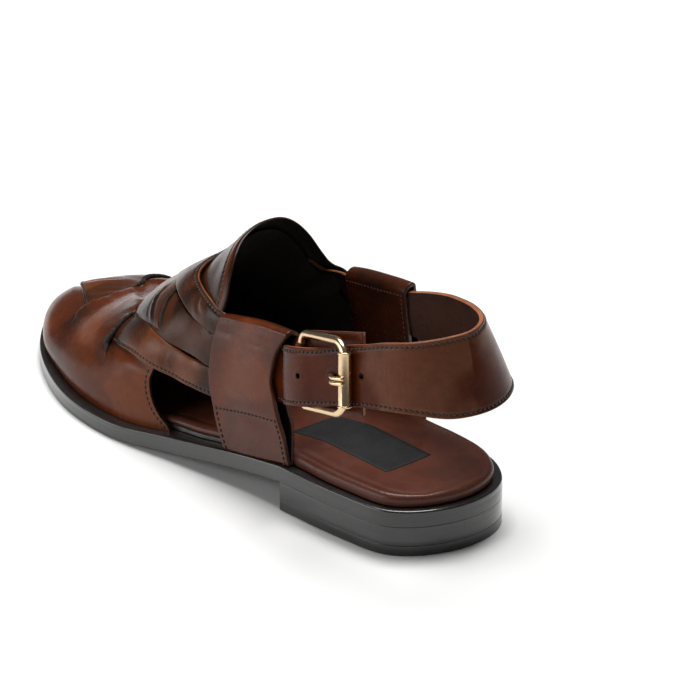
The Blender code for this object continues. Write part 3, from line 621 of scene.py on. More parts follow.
def stitch_tree():
    """Geometry nodes: waxed stitches laid end to end along every curve."""
    tree = bpy.data.node_groups.new("stitch_line", "GeometryNodeTree")
    face = tree.interface
    face.new_socket("Path", in_out="INPUT", socket_type="NodeSocketGeometry")
    for label, value in (("Pitch", 2.4 * MM), ("Length", 1.9 * MM), ("Thickness", 0.5 * MM)):
        socket = face.new_socket(label, in_out="INPUT", socket_type="NodeSocketFloat")
        socket.default_value = value
    face.new_socket("Thread", in_out="INPUT", socket_type="NodeSocketMaterial")
    face.new_socket("Stitches", in_out="OUTPUT", socket_type="NodeSocketGeometry")
    given, out = tree.nodes.new("NodeGroupInput"), tree.nodes.new("NodeGroupOutput")
    resample = node(tree, "GeometryNodeResampleCurve",
                    [("Curve", given.outputs["Path"]), ("Length", given.outputs["Pitch"])],
                    mode="LENGTH")
    ball = node(tree, "GeometryNodeMeshUVSphere", [("Segments", 8), ("Rings", 5), ("Radius", 0.5)])
    tangent = node(tree, "GeometryNodeInputTangent")
    aim = node(tree, "FunctionNodeAlignRotationToVector", [("Vector", tangent.outputs[0])],
               axis="X")
    size = node(tree, "ShaderNodeCombineXYZ",
                [("X", given.outputs["Length"]), ("Y", given.outputs["Thickness"]),
                 ("Z", given.outputs["Thickness"])])
    laid = node(tree, "GeometryNodeInstanceOnPoints",
                [("Points", resample.outputs[0]), ("Instance", ball.outputs["Mesh"]),
                 ("Rotation", aim.outputs[0]), ("Scale", size.outputs[0])])
    real = node(tree, "GeometryNodeRealizeInstances", [("Geometry", laid.outputs[0])])
    soft = node(tree, "GeometryNodeSetShadeSmooth", [("Geometry", real.outputs[0])])
    last = node(tree, "GeometryNodeSetMaterial",
                [("Geometry", soft.outputs[0]), ("Material", given.outputs["Thread"])])
    tree.links.new(last.outputs[0], out.inputs[0])
    return tree


STITCHES = stitch_tree()
STITCH_PITCH = 2.3


def socket_id(tree, label):
    return next(item.identifier for item in tree.interface.items_tree
                if item.name == label and item.in_out == "INPUT")


def make_stitches(name, paths, slot, length=1.65, thick=0.85, thread=THREAD):
    """Rows of stitches along paths of points in millimetres."""
    curve = bpy.data.curves.new(name, "CURVE")
    curve.dimensions = "3D"
    for path in paths:
        shifted = (np.asarray(path) - (0, HEEL_CENTRE, 0)) * MM
        line = curve.splines.new("POLY")
        line.points.add(len(shifted) - 1)
        line.points.foreach_set("co", np.c_[shifted, np.ones(len(shifted))].ravel())
    piece = bpy.data.objects.new(name, curve)
    bpy.context.scene.collection.objects.link(piece)
    sewn = piece.modifiers.new("stitches", "NODES")
    sewn.node_group = STITCHES
    for label, value in (("Pitch", STITCH_PITCH * MM), ("Length", length * MM),
                         ("Thickness", thick * MM), ("Thread", thread)):
        sewn[socket_id(STITCHES, label)] = value
    settle(baked(piece), slot)


# ---------------------------------------------------------------- strips of leather

EDGE_STEPS = np.array((0, 0.1, 0.3, 0.6, 1.0, 1.35, 1.7, 2.05, 2.4, 2.9, 3.6))
EDGE_ROLL = 0.42
NARROW = 9  # below this width the edge steps draw together
GROOVE_AT = 1.8
GROOVE_DEPTH = 0.32
GROOVE_WIDE = 0.5
THREAD_LIFT = 0.12


def edge_places(width, middle):
    """Distances from the first edge at each station, close together by both edges."""
    near = EDGE_STEPS * np.minimum(1, width / NARROW)[:, None]
    inner = width[:, None] - 2 * near[:, -1:]
    core = near[:, -1:] + inner * np.linspace(0, 1, middle + 2)[1:-1]
    return np.concatenate([near, core, width[:, None] - near[:, ::-1]], 1)


def cut_profile(first, second, first_groove, second_groove):
    """Height change over a strip: its cut edges roll down, and stitching pulls in a groove."""
    height = np.zeros_like(first)
    for away, groove in ((first, first_groove), (second, second_groove)):
        height -= EDGE_ROLL * np.clip(1 - away / EDGE_ROLL, 0, 1) ** 2
        if groove:
            height -= GROOVE_DEPTH * bell(away - GROOVE_AT, GROOVE_WIDE)
    return height


def strip_piece(name, outer, inner, away, materials, shade):
    """A closed strip between its outer and inner faces: grids whose rows run along it."""
    rows, columns = outer.shape[:2]
    rings = np.concatenate([outer, inner[:, ::-1]], 1)
    faces = grid_faces(rows, columns * 2, ring=True)
    place = np.tile(np.arange(columns * 2), rows - 1)
    slots = np.where(place < columns - 1, 0, np.where(place < columns, 1, 2))
    slots[place == columns * 2 - 1] = 1
    ends = [tuple(range(columns * 2)), tuple(range((rows - 1) * columns * 2, rows * columns * 2))]
    slots = np.concatenate([slots, [1, 1]])
    rim = np.exp(-away / 2.2)
    layers = {
        "rim": np.concatenate([rim, rim[:, ::-1]], 1),
        "shade": np.concatenate([shade, shade[:, ::-1]], 1),
    }
    return make_mesh(name, rings, faces + ends, materials, slots, layers)


def near_line(points, line):
    """Distance of points from a line, and how far along the line each lies (0 to 1)."""
    flat = points.reshape(-1, 3)
    start, step = line[:-1], np.diff(line, axis=0)
    size = (step**2).sum(1)
    share = np.clip(((flat[:, None] - start) * step).sum(2) / size, 0, 1)
    gap = np.linalg.norm(flat[:, None] - (start + share[..., None] * step), axis=2)
    best = gap.argmin(1)
    rows = np.arange(len(flat))
    along = (best + share[rows, best]) / len(step)
    return gap[rows, best].reshape(points.shape[:-1]), along.reshape(points.shape[:-1])


Crease = namedtuple("Crease", "depth width path")


def crease_lift(along, turn, creases):
    """Height change from creases laid on the last: a soft trough between two low ridges."""
    if not creases:
        return 0.0
    base = arch(along, turn)
    lift = np.zeros(base.shape[:-1])
    for crease in creases:
        path = np.array(crease.path, float)
        line = arch(*through(path, 14, arch(*path.T)).T)
        gap, share = near_line(base, line)
        ends = np.sqrt(np.clip(4 * share * (1 - share), 0, 1))
        trough = bell(gap, crease.width)
        ridge = bell(gap - 1.9 * crease.width, crease.width)
        lift += crease.depth * ends * (0.45 * ridge - trough)
    return lift


Spot = namedtuple("Spot", "along turn reach strength")
TURN_LENGTH = 60  # millimetres that one unit of turn counts for in a spot


def spot_sum(along, turn, spots):
    """Sum of soft round spots laid on the last."""
    total = np.zeros(np.broadcast(along, turn).shape)
    for spot in spots:
        far = (along - spot.along) ** 2 + ((turn - spot.turn) * TURN_LENGTH) ** 2
        total += spot.strength * np.exp(-far / spot.reach**2)
    return total


STRAP_SIDES = [STRAP_LEATHER, RAW_TAN, LINING]


def strap_edges(rows):
    """Points on a strap's front and rear edge."""
    return skin(*rows[:, :3].T), skin(*rows[:, 3:].T)


def make_strap(name, rows, thick=1.5, count=120, crown=0.5, sewn=(False, False), creases=(),
               spots=(), materials=STRAP_SIDES):
    """A woven strap on the last; returns the stitching paths of its sewn front and rear edge.

    Each row gives along, turn and lift of the front edge, then of the rear edge."""
    rows = np.array(rows, float)
    front, rear = strap_edges(rows)
    rows = through(rows, count, (front + rear) / 2)
    front, rear = strap_edges(rows)
    width = np.linalg.norm(front - rear, axis=1)
    away = edge_places(width, 16)
    share = away / width[:, None]
    along, turn, lift = (
        rows[:, column, None] + (rows[:, column + 3, None] - rows[:, column, None]) * share
        for column in (0, 1, 2)
    )
    back = width[:, None] - away
    lift = lift + crown * 4 * share * (1 - share) + cut_profile(away, back, *sewn)
    lift = lift + crease_lift(along, turn, creases)
    outer = skin(along, turn, lift)
    inner = skin(along, turn, lift - thick)
    on_ledge(outer)
    on_ledge(inner)
    # Spots paint shade where a strap runs under its neighbours, and painted highlights where they
    # are negative.
    shade = spot_sum(along, turn, spots)
    settle(strip_piece(name, outer, inner, np.minimum(away, back), materials, shade), "upper")
    groove = GROOVE_AT * min(1, width[0] / NARROW)
    paths = []
    for distance, wanted in zip((away, back), sewn):
        if wanted:
            column = int(np.abs(distance[0] - groove).argmin())
            lifted = skin(along[:, column], turn[:, column], lift[:, column] + THREAD_LIFT)
            paths.append(lifted[2:-2])
    return paths


# ---------------------------------------------------------------- the toe vamp and its bridge

Point = namedtuple("Point", "turn along")
# The vamp is slit twice. The bridge between the slits passes over the toe strap.
FRONT_SLIT = rows_of(
    Point,
    (-1, 234), (-0.8, 236), (-0.65, 237.5), (-0.55, 239), (-0.502, 240.4), (-0.438, 242.7),
    (-0.385, 242.3), (-0.338, 241.2), (-0.30, 240), (-0.255, 238.4), (-0.188, 235.6),
    (-0.13, 233.6), (-0.10, 232.5), (-0.06, 232),
)
REAR_SLIT = rows_of(
    Point,
    (-1, 188), (-0.8, 190), (-0.667, 191.8), (-0.615, 194.5), (-0.547, 194.1), (-0.49, 193.2),
    (-0.445, 191.6), (-0.41, 192.5), (-0.35, 190), (-0.25, 183), (-0.10, 181), (-0.06, 180.5),
)
VAMP_REAR = rows_of(
    Point,
    (-1, 146.5), (-0.993, 146.8), (-0.948, 152.2), (-0.90, 155.8), (-0.848, 158.1),
    (-0.802, 159), (-0.767, 158.7), (-0.70, 163), (-0.65, 170), (-0.60, 178), (-0.55, 185),
    (-0.50, 188),
)
TOE_REAR = rows_of(
    Point,
    (-0.06, 214), (0, 208), (0.12, 206), (0.3, 196), (0.46, 182), (0.62, 166),
    (0.70, 160), (0.767, 158.7), (0.802, 159), (0.848, 158.1), (0.90, 155.8),
    (0.948, 152.2), (0.993, 146.8), (1, 146.5),
)
LAP_START = stations((146, -0.85), (158, -0.81), (172, -0.75), (191.5, -0.676), (215, -0.59),
                     (238.5, -0.504), (256, -0.42), (277, -0.30), (285, -0.2), (289, 0))
STRAP_REAR = stations((147, -0.70), (157, -0.645), (173, -0.55), (186, -0.463), (191.4, -0.397),
                      (201.7, -0.305), (219, -0.19), (231.9, -0.09), (245, 0.06))
STRAP_EDGE = stations((146, -0.80), (158, -0.755), (173, -0.68), (192, -0.607), (215, -0.50),
                      (240, -0.387), (253, -0.33), (263, -0.275), (273, -0.218), (285, -0.02),
                      (289, 0.3))
TOE_SWELLS = [
    Spot(276, -0.62, 22, 1.9), Spot(279, -0.25, 14, 0.9), Spot(248, -0.75, 24, 0.8),
    Spot(266, 0.3, 20, -0.8), Spot(160, -0.15, 12, -0.6),
]
TOE_CREASES = [
    Crease(0.3, 1.5, ((230, 0.62), (224, 0.72), (216, 0.8))),
]


def lap_share(along, turn, lead=0.0):
    """0 where the vamp is one sheet, 1 where the toe strap lies against it."""
    start = value_at(LAP_START, along) - lead
    edge = value_at(STRAP_EDGE, along)
    return ease((turn - start) / (edge - start))


def base_lift(along, turn):
    return spot_sum(along, turn, TOE_SWELLS) + crease_lift(along, turn, TOE_CREASES)


BRIDGE_RISE = 0.8
BRIDGE_LEAD = 0.06
VAMP_SINK = 1.1
VAMP_WALL = 1.4


def vamp_grid(turns, back, front, rows, level, close=False):
    """Outer and inner points of a sheet of the vamp between two lines."""
    share = np.linspace(0, 1, rows)[:, None]
    if close:
        share = np.sin(share * math.pi / 2) ** 0.9
    along = back + (front - back) * share
    turn = np.broadcast_to(turns, along.shape).copy()
    lift = base_lift(along, turn) + level * lap_share(along, turn)
    outer, inner = skin(along, turn, lift), skin(along, turn, lift - VAMP_WALL)
    if close:
        outer[-1] = outer[-1].mean(0)
        inner[-1] = outer[-1] - (0, VAMP_WALL, 0)
    return on_ledge(outer), on_ledge(inner), along, turn


def slit_wave(along, turn):
    """The lips of the slits are worked soft and wavy."""
    return 0.25 * np.sin(turn * 55 + along * 0.21) + 0.2 * np.sin(turn * 92 - along * 0.13)


def lip_rise(turn):
    """How far the bridge's front lip stands up along its length."""
    return np.interp(turn, (-0.5, -0.44, -0.35, -0.2, -0.05, 0.05, 0.2, 0.34),
                     (0, 0.8, 1.3, 1.5, 1.9, 2.3, 1.8, 0))


# Painted shade by the slits and where the vamp tucks under the toe strap; painted highlights on the
# flank and the bridge's lip; darker towards the toe tip and feather line.
VAMP_SPOTS = [
    Spot(286, -0.35, 16, 0.25), Spot(283, 0.0, 16, 0.25), Spot(215, -0.97, 40, 0.20),
    Spot(215, -0.55, 16, -0.25), Spot(262, -0.75, 18, -0.30), Spot(236, -0.45, 8, 0.25),
    Spot(196, -0.60, 8, 0.25), Spot(178, -0.85, 12, -0.20), Spot(160, -0.9, 12, -0.35),
    Spot(240, -0.90, 14, 0.15), Spot(241, -0.49, 9, 0.4), Spot(193, -0.60, 5, 0.4),
    Spot(203, -0.34, 8, 0.5), Spot(240, -0.22, 9, -0.3), Spot(262, -0.5, 12, 0.2),
]


# The bridge's edges past the ridge: front along and turn, then rear along and turn.
BRIDGE_AHEAD = (
    (233, -0.11, 185, -0.20), (235.5, -0.03, 181.5, -0.08), (242, 0.05, 179, 0.06),
    (245, 0.13, 176.5, 0.18), (242, 0.24, 170, 0.32), (222, 0.40, 163, 0.44),
    (196, 0.56, 156, 0.52), (172, 0.71, 150, 0.595), (159, 0.83, 142, 0.66),
    (144, 0.90, 133, 0.705), (128, 0.92, 125, 0.755), (112, 0.92, 111, 0.79),
)
BRIDGE_SHARE = np.concatenate([
    (0, 0.003, 0.008, 0.016, 0.035, 0.06), np.linspace(0.1, 0.9, 30),
    (0.94, 0.965, 0.984, 0.992, 0.997, 1),
])[:, None]
BRIDGE_FREE = -0.16  # turn where it leaves the vamp's slits
BRIDGE_ROLL = 0.45
SLIT_END = -0.06
REAR_SHEET_END = -0.5
SLIT_LIP = (-0.665, -0.44)
BRIDGE_LIP = (-0.10, 0.26)


def bridge_edges(turns, slit_front, slit_rear):
    """The bridge between the slits, and then as a strap down to the inner side band."""
    start = [(front, turn, rear, turn)
             for front, turn, rear in zip(slit_front, turns, slit_rear) if turn < BRIDGE_FREE]
    ahead = np.array([start[-1], *BRIDGE_AHEAD])
    return np.concatenate([np.array(start), through(ahead, 110, arch(*ahead[:, :2].T))[1:]])


def bridge_grid(bridge):
    """Outer and inner points of the bridge, and where they lie on the last."""
    share = BRIDGE_SHARE
    wide = bridge[:, 0] - bridge[:, 2]
    along = bridge[:, 2] + wide * share
    turn = bridge[:, 3] + (bridge[:, 1] - bridge[:, 3]) * share
    # Behind the toe strap it drops to the last, and then dips under the cross strap.
    behind = ease((turn - value_at(STRAP_REAR, along) + 0.02) / 0.045)
    behind = np.where(along > 245, 0, behind)
    under = ease((200 - along) / 8) * behind * (1 - ease((turn - 0.1) / 0.3))
    level = BRIDGE_RISE - 1.5 * behind + lip_rise(turn) * bell(bridge[:, 0] - along, 8)
    level = level - 0.6 * under - 1.2 * ease((turn - 0.76) / 0.08)
    lap = np.where(turn > -0.2, 1.0, lap_share(along, turn, BRIDGE_LEAD))
    dome = 0.3 * lap * np.sin(math.pi * share) ** 0.8 * (1 - 0.7 * behind)
    from_edge = np.minimum(share, 1 - share)
    wave = slit_wave(along, turn) * lap * (1 - ease((turn + 0.10) / 0.25))
    wave = wave * np.exp(-from_edge * 9)
    roll = BRIDGE_ROLL * np.clip(1 - from_edge * wide / BRIDGE_ROLL, 0, 1) ** 2 * ease(lap * 4)
    lift = base_lift(along, turn) + level * lap + dome + wave - roll
    inner = skin(along, turn, lift + roll - VAMP_WALL)
    return on_ledge(skin(along, turn, lift)), on_ledge(inner), along, turn


def crinkled(turns, fast, slow):
    return np.sin(turns * fast) * np.sin(turns * slow + 1)


def raw_lip(name, path, thin, swell, power, crinkle=0.0, count=14):
    """A raw black edge, thin at both ends and swelling between them."""
    share = np.linspace(0, 1, len(path))
    radius = thin + swell * np.sin(math.pi * share) ** power * (1 + crinkle)
    tube_piece(name, path, radius, "upper", RAW_DARK, count=count)


def make_vamp():
    """Toe vamp: front, rear and bridge sheets, one leather outside the slits."""
    outer_turns = np.concatenate([np.linspace(-1, -0.9, 12), np.linspace(-0.892, SLIT_END, 105)])
    inner_turns = np.linspace(SLIT_END, 1, 100)[1:]
    slit_front = line_at(FRONT_SLIT, outer_turns)
    slit_rear = line_at(REAR_SLIT, outer_turns)
    rear_turns = outer_turns[outer_turns <= REAR_SHEET_END]
    toe_back = np.concatenate([slit_front, line_at(TOE_REAR, inner_turns)])
    bridge = bridge_edges(outer_turns, slit_front, slit_rear)
    grids = [
        vamp_grid(np.concatenate([outer_turns, inner_turns]), toe_back, TOE_TIP - 0.05, 70,
                  -VAMP_SINK, close=True),
        vamp_grid(rear_turns, line_at(VAMP_REAR, rear_turns), slit_rear[: len(rear_turns)], 34,
                  -VAMP_SINK),
        bridge_grid(bridge),
    ]
    faces, start = [], 0
    for grid in grids:
        faces += grid_faces(*grid[2].shape, start)
        start += grid[2].size
    outer, inner = (np.concatenate([grid[side].reshape(-1, 3) for grid in grids])
                    for side in (0, 1))
    along, turn = (np.concatenate([grid[side].ravel() for grid in grids]) for side in (2, 3))
    layers = {"shade": spot_sum(along, turn, VAMP_SPOTS), "rim": np.zeros(len(along))}
    piece = walled("toe_vamp", outer, inner, faces, [VAMP_LEATHER, RAW_DARK, LINING], layers)
    settle(piece, "upper", "upper")

    hem = np.linspace(-0.985, -0.775, 60)
    along = line_at(VAMP_REAR, hem) + 2.2
    lift = base_lift(along, hem) - VAMP_SINK * lap_share(along, hem) + 0.1
    make_stitches("window_hem_stitching", [skin(along, hem, lift)], "upper")

    # The raw lip over the toe strap is gathered into a thick, crinkled black edge.
    turns = np.linspace(*SLIT_LIP, 120)
    along = line_at(REAR_SLIT, turns)
    crinkle = crinkled(turns, 420, 171)
    lift = BRIDGE_RISE * lap_share(along, turns, BRIDGE_LEAD) + base_lift(along, turns) - 0.3
    path = skin(along + 0.15 + 0.22 * crinkle, turns, lift + 0.2 * crinkle)
    raw_lip("slit_lip", path, 0.25, 1.05, 0.45, 0.22 * crinkle)

    # The bridge's front edge curls up, raw and black, over the crest of the toe strap.
    turns = np.linspace(*BRIDGE_LIP, 90)
    front = through(bridge[:, :2], 600)
    along = np.interp(turns, front[:, 1], front[:, 0])
    path = skin(along - 0.2, turns, BRIDGE_RISE + lip_rise(turns) - 0.5)
    raw_lip("bridge_lip", path, 0.3, 0.8, 0.5, 0.15 * crinkled(turns, 310, 131))


TOE_STRAP = [
    (103, -0.885, -0.7, 100, -0.80, -0.7), (112, -0.875, -0.5, 111, -0.79, -0.5),
    (122, -0.86, 0.1, 123.4, -0.772, 0.1), (133.8, -0.838, 0.5, 136.5, -0.74, 0.6),
    (145.5, -0.807, 0.7, 147.7, -0.698, 0.8), (159.4, -0.755, 0.9, 157.2, -0.645, 1.1),
    (173.8, -0.682, 0.4, 169, -0.566, 1.1), (192.7, -0.607, -0.8, 183, -0.487, 0.6),
    (215, -0.50, -1.4, 200, -0.36, -1.8), (240.4, -0.387, -0.3, 219, -0.19, -1.0),
    (253, -0.33, 0.8, 231.9, -0.09, -0.1), (263.4, -0.275, 1.4, 239.5, -0.02, 0.0),
    (273.3, -0.215, 2.3, 245, 0.06, 0.0), (279, -0.08, 0.3, 248.5, 0.15, -0.4),
    (281, 0.1, -1.2, 247, 0.28, -0.5), (279.5, 0.3, -1.5, 243.5, 0.43, -0.4),
    (275, 0.5, -0.9, 238, 0.58, 0.0), (269, 0.7, -0.1, 231, 0.74, 0.5),
    (262, 0.86, 0.5, 225, 0.88, 0.6), (257, 1, 0.5, 221, 1, 0.5),
]
CROSS_STRAP = [
    (183, -0.56, -1.4, 155, -0.68, -1.0), (188.5, -0.475, -1.1, 158.5, -0.625, -0.4),
    (190.8, -0.425, 0.2, 161.5, -0.585, 1.0), (191.5, -0.37, 1.0, 164, -0.52, 1.8),
    (191.8, -0.31, 1.3, 165.6, -0.44, 1.9), (192.5, -0.24, 1.4, 165, -0.37, 1.2),
    (194, -0.147, 1.3, 161.5, -0.22, -0.3),
    (191, 0, 0.9, 159, -0.02, -0.3), (187, 0.17, 0.7, 157, 0.2, -0.3),
    (182, 0.34, 0.2, 155, 0.40, 0.0), (176, 0.5, -0.6, 152, 0.55, -0.3),
]
# Lies beside the toe strap, under the cross strap, on each side of the foot.
SIDE_STRAP = [
    (100, -0.78, -0.8, 100, -0.68, -0.8), (112, -0.776, -0.5, 112, -0.675, -0.5),
    (122.5, -0.775, 0.0, 123.4, -0.665, 0.3), (138.5, -0.724, 0.3, 134.2, -0.622, 0.7),
    (146, -0.70, 0.3, 145.5, -0.568, 0.8), (154, -0.665, 0.3, 153.1, -0.508, 0.8),
    (163, -0.62, 0.2, 162.6, -0.425, 0.8), (176, -0.55, -0.1, 174, -0.33, 0.2),
    (184, -0.5, -0.4, 183, -0.28, -0.3),
]
CHEVRON = [
    (104, -0.74, -1.2, 101, -0.64, -1.2), (112, -0.71, -0.6, 110.5, -0.622, -0.6),
    (121.6, -0.672, 1.2, 118.9, -0.60, 1.2), (134.2, -0.623, 1.8, 125.8, -0.573, 1.7),
    (144.6, -0.565, 2.0, 133.8, -0.527, 1.7), (154, -0.485, 2.0, 143.7, -0.46, 1.7),
    (163.5, -0.395, 2.0, 151.5, -0.385, 1.6), (172.5, -0.30, 1.9, 157.2, -0.30, 1.1),
    (182, -0.21, 1.8, 160.5, -0.21, 0.3), (189.5, -0.11, 1.7, 162.8, -0.11, -0.5),
    (193, 0.0, 1.6, 163.2, 0.0, -0.9),
]

CHEVRON_INNER = [
    (189.5, 0.11, 1.4, 162.8, 0.11, -0.7), (182, 0.21, 1.2, 161.5, 0.21, -0.4),
    (173, 0.30, 1.0, 159, 0.30, -0.1), (166, 0.395, 0.8, 155, 0.385, 0.1),
    (160, 0.485, 0.6, 149, 0.46, 0.2), (154, 0.565, 0.4, 144, 0.527, 0.0),
    (147, 0.623, 0.1, 140, 0.573, -0.4), (138, 0.672, -0.4, 134, 0.605, -0.6),
    (124, 0.71, -1.2, 120, 0.63, -1.2), (112, 0.74, -1.4, 108, 0.65, -1.4),
]


def make_weave():
    """The woven straps of the forefoot and instep, and their stitching."""
    # Each strap's spots paint shade where it runs under its neighbours and painted highlights on
    # what stands up.
    toe_paths = make_strap(
        "toe_strap", TOE_STRAP, count=190, crown=0.7, sewn=(True, False),
        creases=[Crease(0.3, 1.4, ((150, -0.79), (152, -0.74), (151, -0.69))),
                 Crease(0.35, 1.6, ((255, -0.27), (249, -0.2), (243, -0.12))),
                 Crease(0.3, 1.5, ((267, -0.2), (262, -0.1), (256, 0)))],
        spots=[Spot(238, -0.25, 10, 0.3), Spot(262, -0.12, 14, -0.45), Spot(188, -0.53, 8, 0.3),
               Spot(165, -0.68, 14, -0.5), Spot(135, -0.79, 10, -0.4), Spot(276, 0.1, 12, 0.2)],
    )
    make_strap(
        "cross_strap", CROSS_STRAP, thick=1.3, count=110, crown=0.3,
        materials=[STRAP_LEATHER, RAW_DARK, LINING],
        creases=[Crease(-0.5, 1.0, ((167.8, -0.557), (171.3, -0.50), (173.8, -0.454),
                                    (176.3, -0.383), (175, -0.32)))],
        spots=[Spot(190, -0.33, 6, -0.3), Spot(184, -0.42, 6, 0.3), Spot(172, -0.44, 8, 0.2)],
    )
    # The cross strap's rear edge is left raw and thick.
    rear = through(np.array([row[3:] for row in CROSS_STRAP[1:8]]), 140)
    path = skin(rear[:, 0] - 0.9, rear[:, 1], rear[:, 2] - 0.8)
    raw_lip("cross_strap_raw_edge", path, 0.25, 0.7, 0.4, count=12)
    for side, label in ((OUTER, "outer"), (INNER, "inner")):
        rows = np.array(SIDE_STRAP) * (1, -side, 1, 1, -side, 1)
        if side == INNER:
            # Its front end dives under the bridge.
            rows[:, (2, 5)] -= np.clip((rows[:, :1] - 142) * 0.27, 0, 2.0)
        make_strap(f"side_strap_{label}", rows, crown=0.4,
                   spots=[Spot(150, side * 0.62, 14, 0.25)])
    chevron_paths = make_strap(
        "chevron_strap", CHEVRON + CHEVRON_INNER, count=220, sewn=(False, True),
        creases=[Crease(0.15, 1.5, ((133, -0.60), (138, -0.56), (140, -0.50)))],
        spots=[Spot(153, -0.42, 6, -0.45), Spot(165, -0.33, 12, 0.3), Spot(140, -0.55, 10, 0.25)],
    )
    make_stitches("weave_stitching", toe_paths + chevron_paths, "upper")


# ---------------------------------------------------------------- linings

def sheet_piece(name, outer, thick, materials, edge_round, segments, rim=0.0, shade=0.0):
    """A sheet with its wall inwards; rows run forward, columns to the inner side."""
    rows, columns = outer.shape[:2]
    layers = {"rim": np.broadcast_to(rim, (rows, columns)),
              "shade": np.broadcast_to(shade, (rows, columns))}
    piece = make_mesh(name, outer, grid_faces(rows, columns), materials, layers=layers,
                      turn_out=False)
    return thicken(piece, thick, edge_round, segments)


def make_linings():
    """Dark lining under the weave."""
    turns = np.linspace(-0.70, 0.70, 90)
    back = line_at(COLLAR, np.clip(turns, -0.66, 0.66)) + 8
    share = np.linspace(0, 1, 70)[:, None]
    along = back + (272 - back) * share
    turn = np.broadcast_to(turns, along.shape)
    depth = np.interp(along - back, (0, 6, 12, 20, 36, 54), (-1.3, -2.7, -4.0, -5.2, -5.2, -2.8))
    lining = sheet_piece("weave_lining", skin(along, turn, depth), 0.8, [LINING] * 3, 0.35, 2)
    settle(lining, "upper")


# ---------------------------------------------------------------- tongue

COLLAR = rows_of(
    Point,
    (-0.66, 122), (-0.55, 122), (-0.49, 123.8), (-0.42, 126.5), (-0.36, 129), (-0.24, 134),
    (-0.1, 137.5), (0, 139), (0.2, 139.3), (0.45, 138.5), (0.55, 136.5), (0.59, 133.5),
    (0.615, 128), (0.64, 123.5), (0.66, 122.5),
)


TONGUE_TURN = 0.66
TONGUE_SEAM = 4.8  # from the collar's edge
TONGUE_WALL = 1.8


def make_tongue():
    """High rounded instep piece: bound collar, stitched fold, and its lining."""
    turns = np.linspace(-TONGUE_TURN, TONGUE_TURN, 120)
    back = line_at(COLLAR, turns)
    step = np.array((0, 0.2, 0.5, 0.9, 1.4, 2.0, 2.8, 3.6, 4.1, 4.5, 4.8, 5.1, 5.5, 6.2, 8, 11,
                     14, 18, 22, 26, 30, 34))
    along = back + step[:, None]
    turn = np.broadcast_to(turns, along.shape)
    depth = step[:, None]
    profile = ((0, 0.5), (0.6, 0.75), (2, 1.0), (5, 0.9), (8, 0.45), (11, 0), (15, -0.2),
               (19, -0.5), (24, -1.2), (31, -2.6), (34, -2.8))
    lift = np.interp(depth, *np.array(profile).T)
    lift = lift - 0.4 * np.clip(1 - depth / 0.5, 0, 1) ** 2
    lift = lift - 0.4 * bell(depth - TONGUE_SEAM, 0.4)
    outer = skin(along, turn, lift)
    piece = sheet_piece("instep_tongue_visual", outer, TONGUE_WALL,
                        [TONGUE_LEATHER, RAW_BROWN, LINING], 0.5, 3, rim=np.exp(-depth / 0.7),
                        shade=0.15 - 0.6 * bell(depth - 3, 1.6))
    settle(piece, "instep_tongue", "instep_tongue")
    seam = skin(back + TONGUE_SEAM, turns, np.full(turns.shape, 0.65))
    make_stitches("tongue_stitching", [seam], "instep_tongue")


# ---------------------------------------------------------------- side bands

BandRow = namedtuple("BandRow", "turn outer_back outer_front inner_back inner_front")
BAND = rows_of(
    BandRow,
    (0.60, 72, 120, 75, 119.5), (0.64, 77, 121.5, 76, 120), (0.70, 81.5, 122.7, 77, 120),
    (0.77, 82.5, 122.3, 77, 119.5), (0.82, 80, 121, 77, 118.8), (0.88, 76.5, 118, 75, 117.5),
    (0.93, 73, 115.5, 73, 115.5), (1, 71, 111, 71, 111),
)
BAND_TOP = {OUTER: 0.634, INNER: 0.604}
BAND_TILT = {OUTER: (-0.022, 2), INNER: (0.022, 1)}  # turn at the front end, and its curve
BAND_WALL = 2.0
BAND_FOOT = 0.4  # over the outsole
BAND_DEPTH = {OUTER: 5.8, INNER: 4.7}  # from the last in to the band's inner leg
LINING_FOOT = -1.3
LINING_MEET = 0.90
FOLD_CROWN = {OUTER: 2.5, INNER: 3.4}
BAND_SEAM = 0.884  # turn of the stitching across the band's foot
# Soft folds where the band turns over the collar and above its foot. Travel is a share of
# the outer leg's length, and share a place across the band.
BandFold = namedtuple("BandFold", "travel share depth wide")
BAND_FOLDS = rows_of(
    BandFold,
    (0.30, 0.35, 0.45, 2.2), (0.42, 0.6, 0.35, 2.0), (0.72, 0.5, 0.4, 2.6),
    (0.86, 0.3, 0.35, 2.2), (0.90, 0.75, 0.35, 2.0),
)


def band_leg(side, turns, lifts, columns):
    label = "outer" if side == OUTER else "inner"
    back = smooth(BAND, label + "_back", turns, key="turn")[:, None]
    front = smooth(BAND, label + "_front", turns, key="turn")[:, None]
    share = np.linspace(0, 1, columns)
    along = back + (front - back) * share
    fade = ease((0.8 - turns[:, None]) / 0.17)
    tilt, curve = BAND_TILT[side]
    turn = side * (turns[:, None] + tilt * share**curve * fade)
    return skin(along, turn, np.broadcast_to(lifts[:, None], along.shape))


def resampled(grid, away, width):
    """Columns of a grid placed at the given distances from its first edge."""
    columns = grid.shape[1]
    spot = away / width[:, None] * (columns - 1)
    cell = np.clip(spot.astype(int), 0, columns - 2)
    part = (spot - cell)[..., None]
    rows = np.arange(len(grid))[:, None]
    return grid[rows, cell] * (1 - part) + grid[rows, cell + 1] * part


def grid_normals(grid, flip=False):
    """Unit normals of a grid of points, from its rows and columns."""
    normal = np.cross(np.gradient(grid, axis=0), np.gradient(grid, axis=1))
    normal /= np.linalg.norm(normal, axis=-1, keepdims=True)
    return -normal if flip else normal


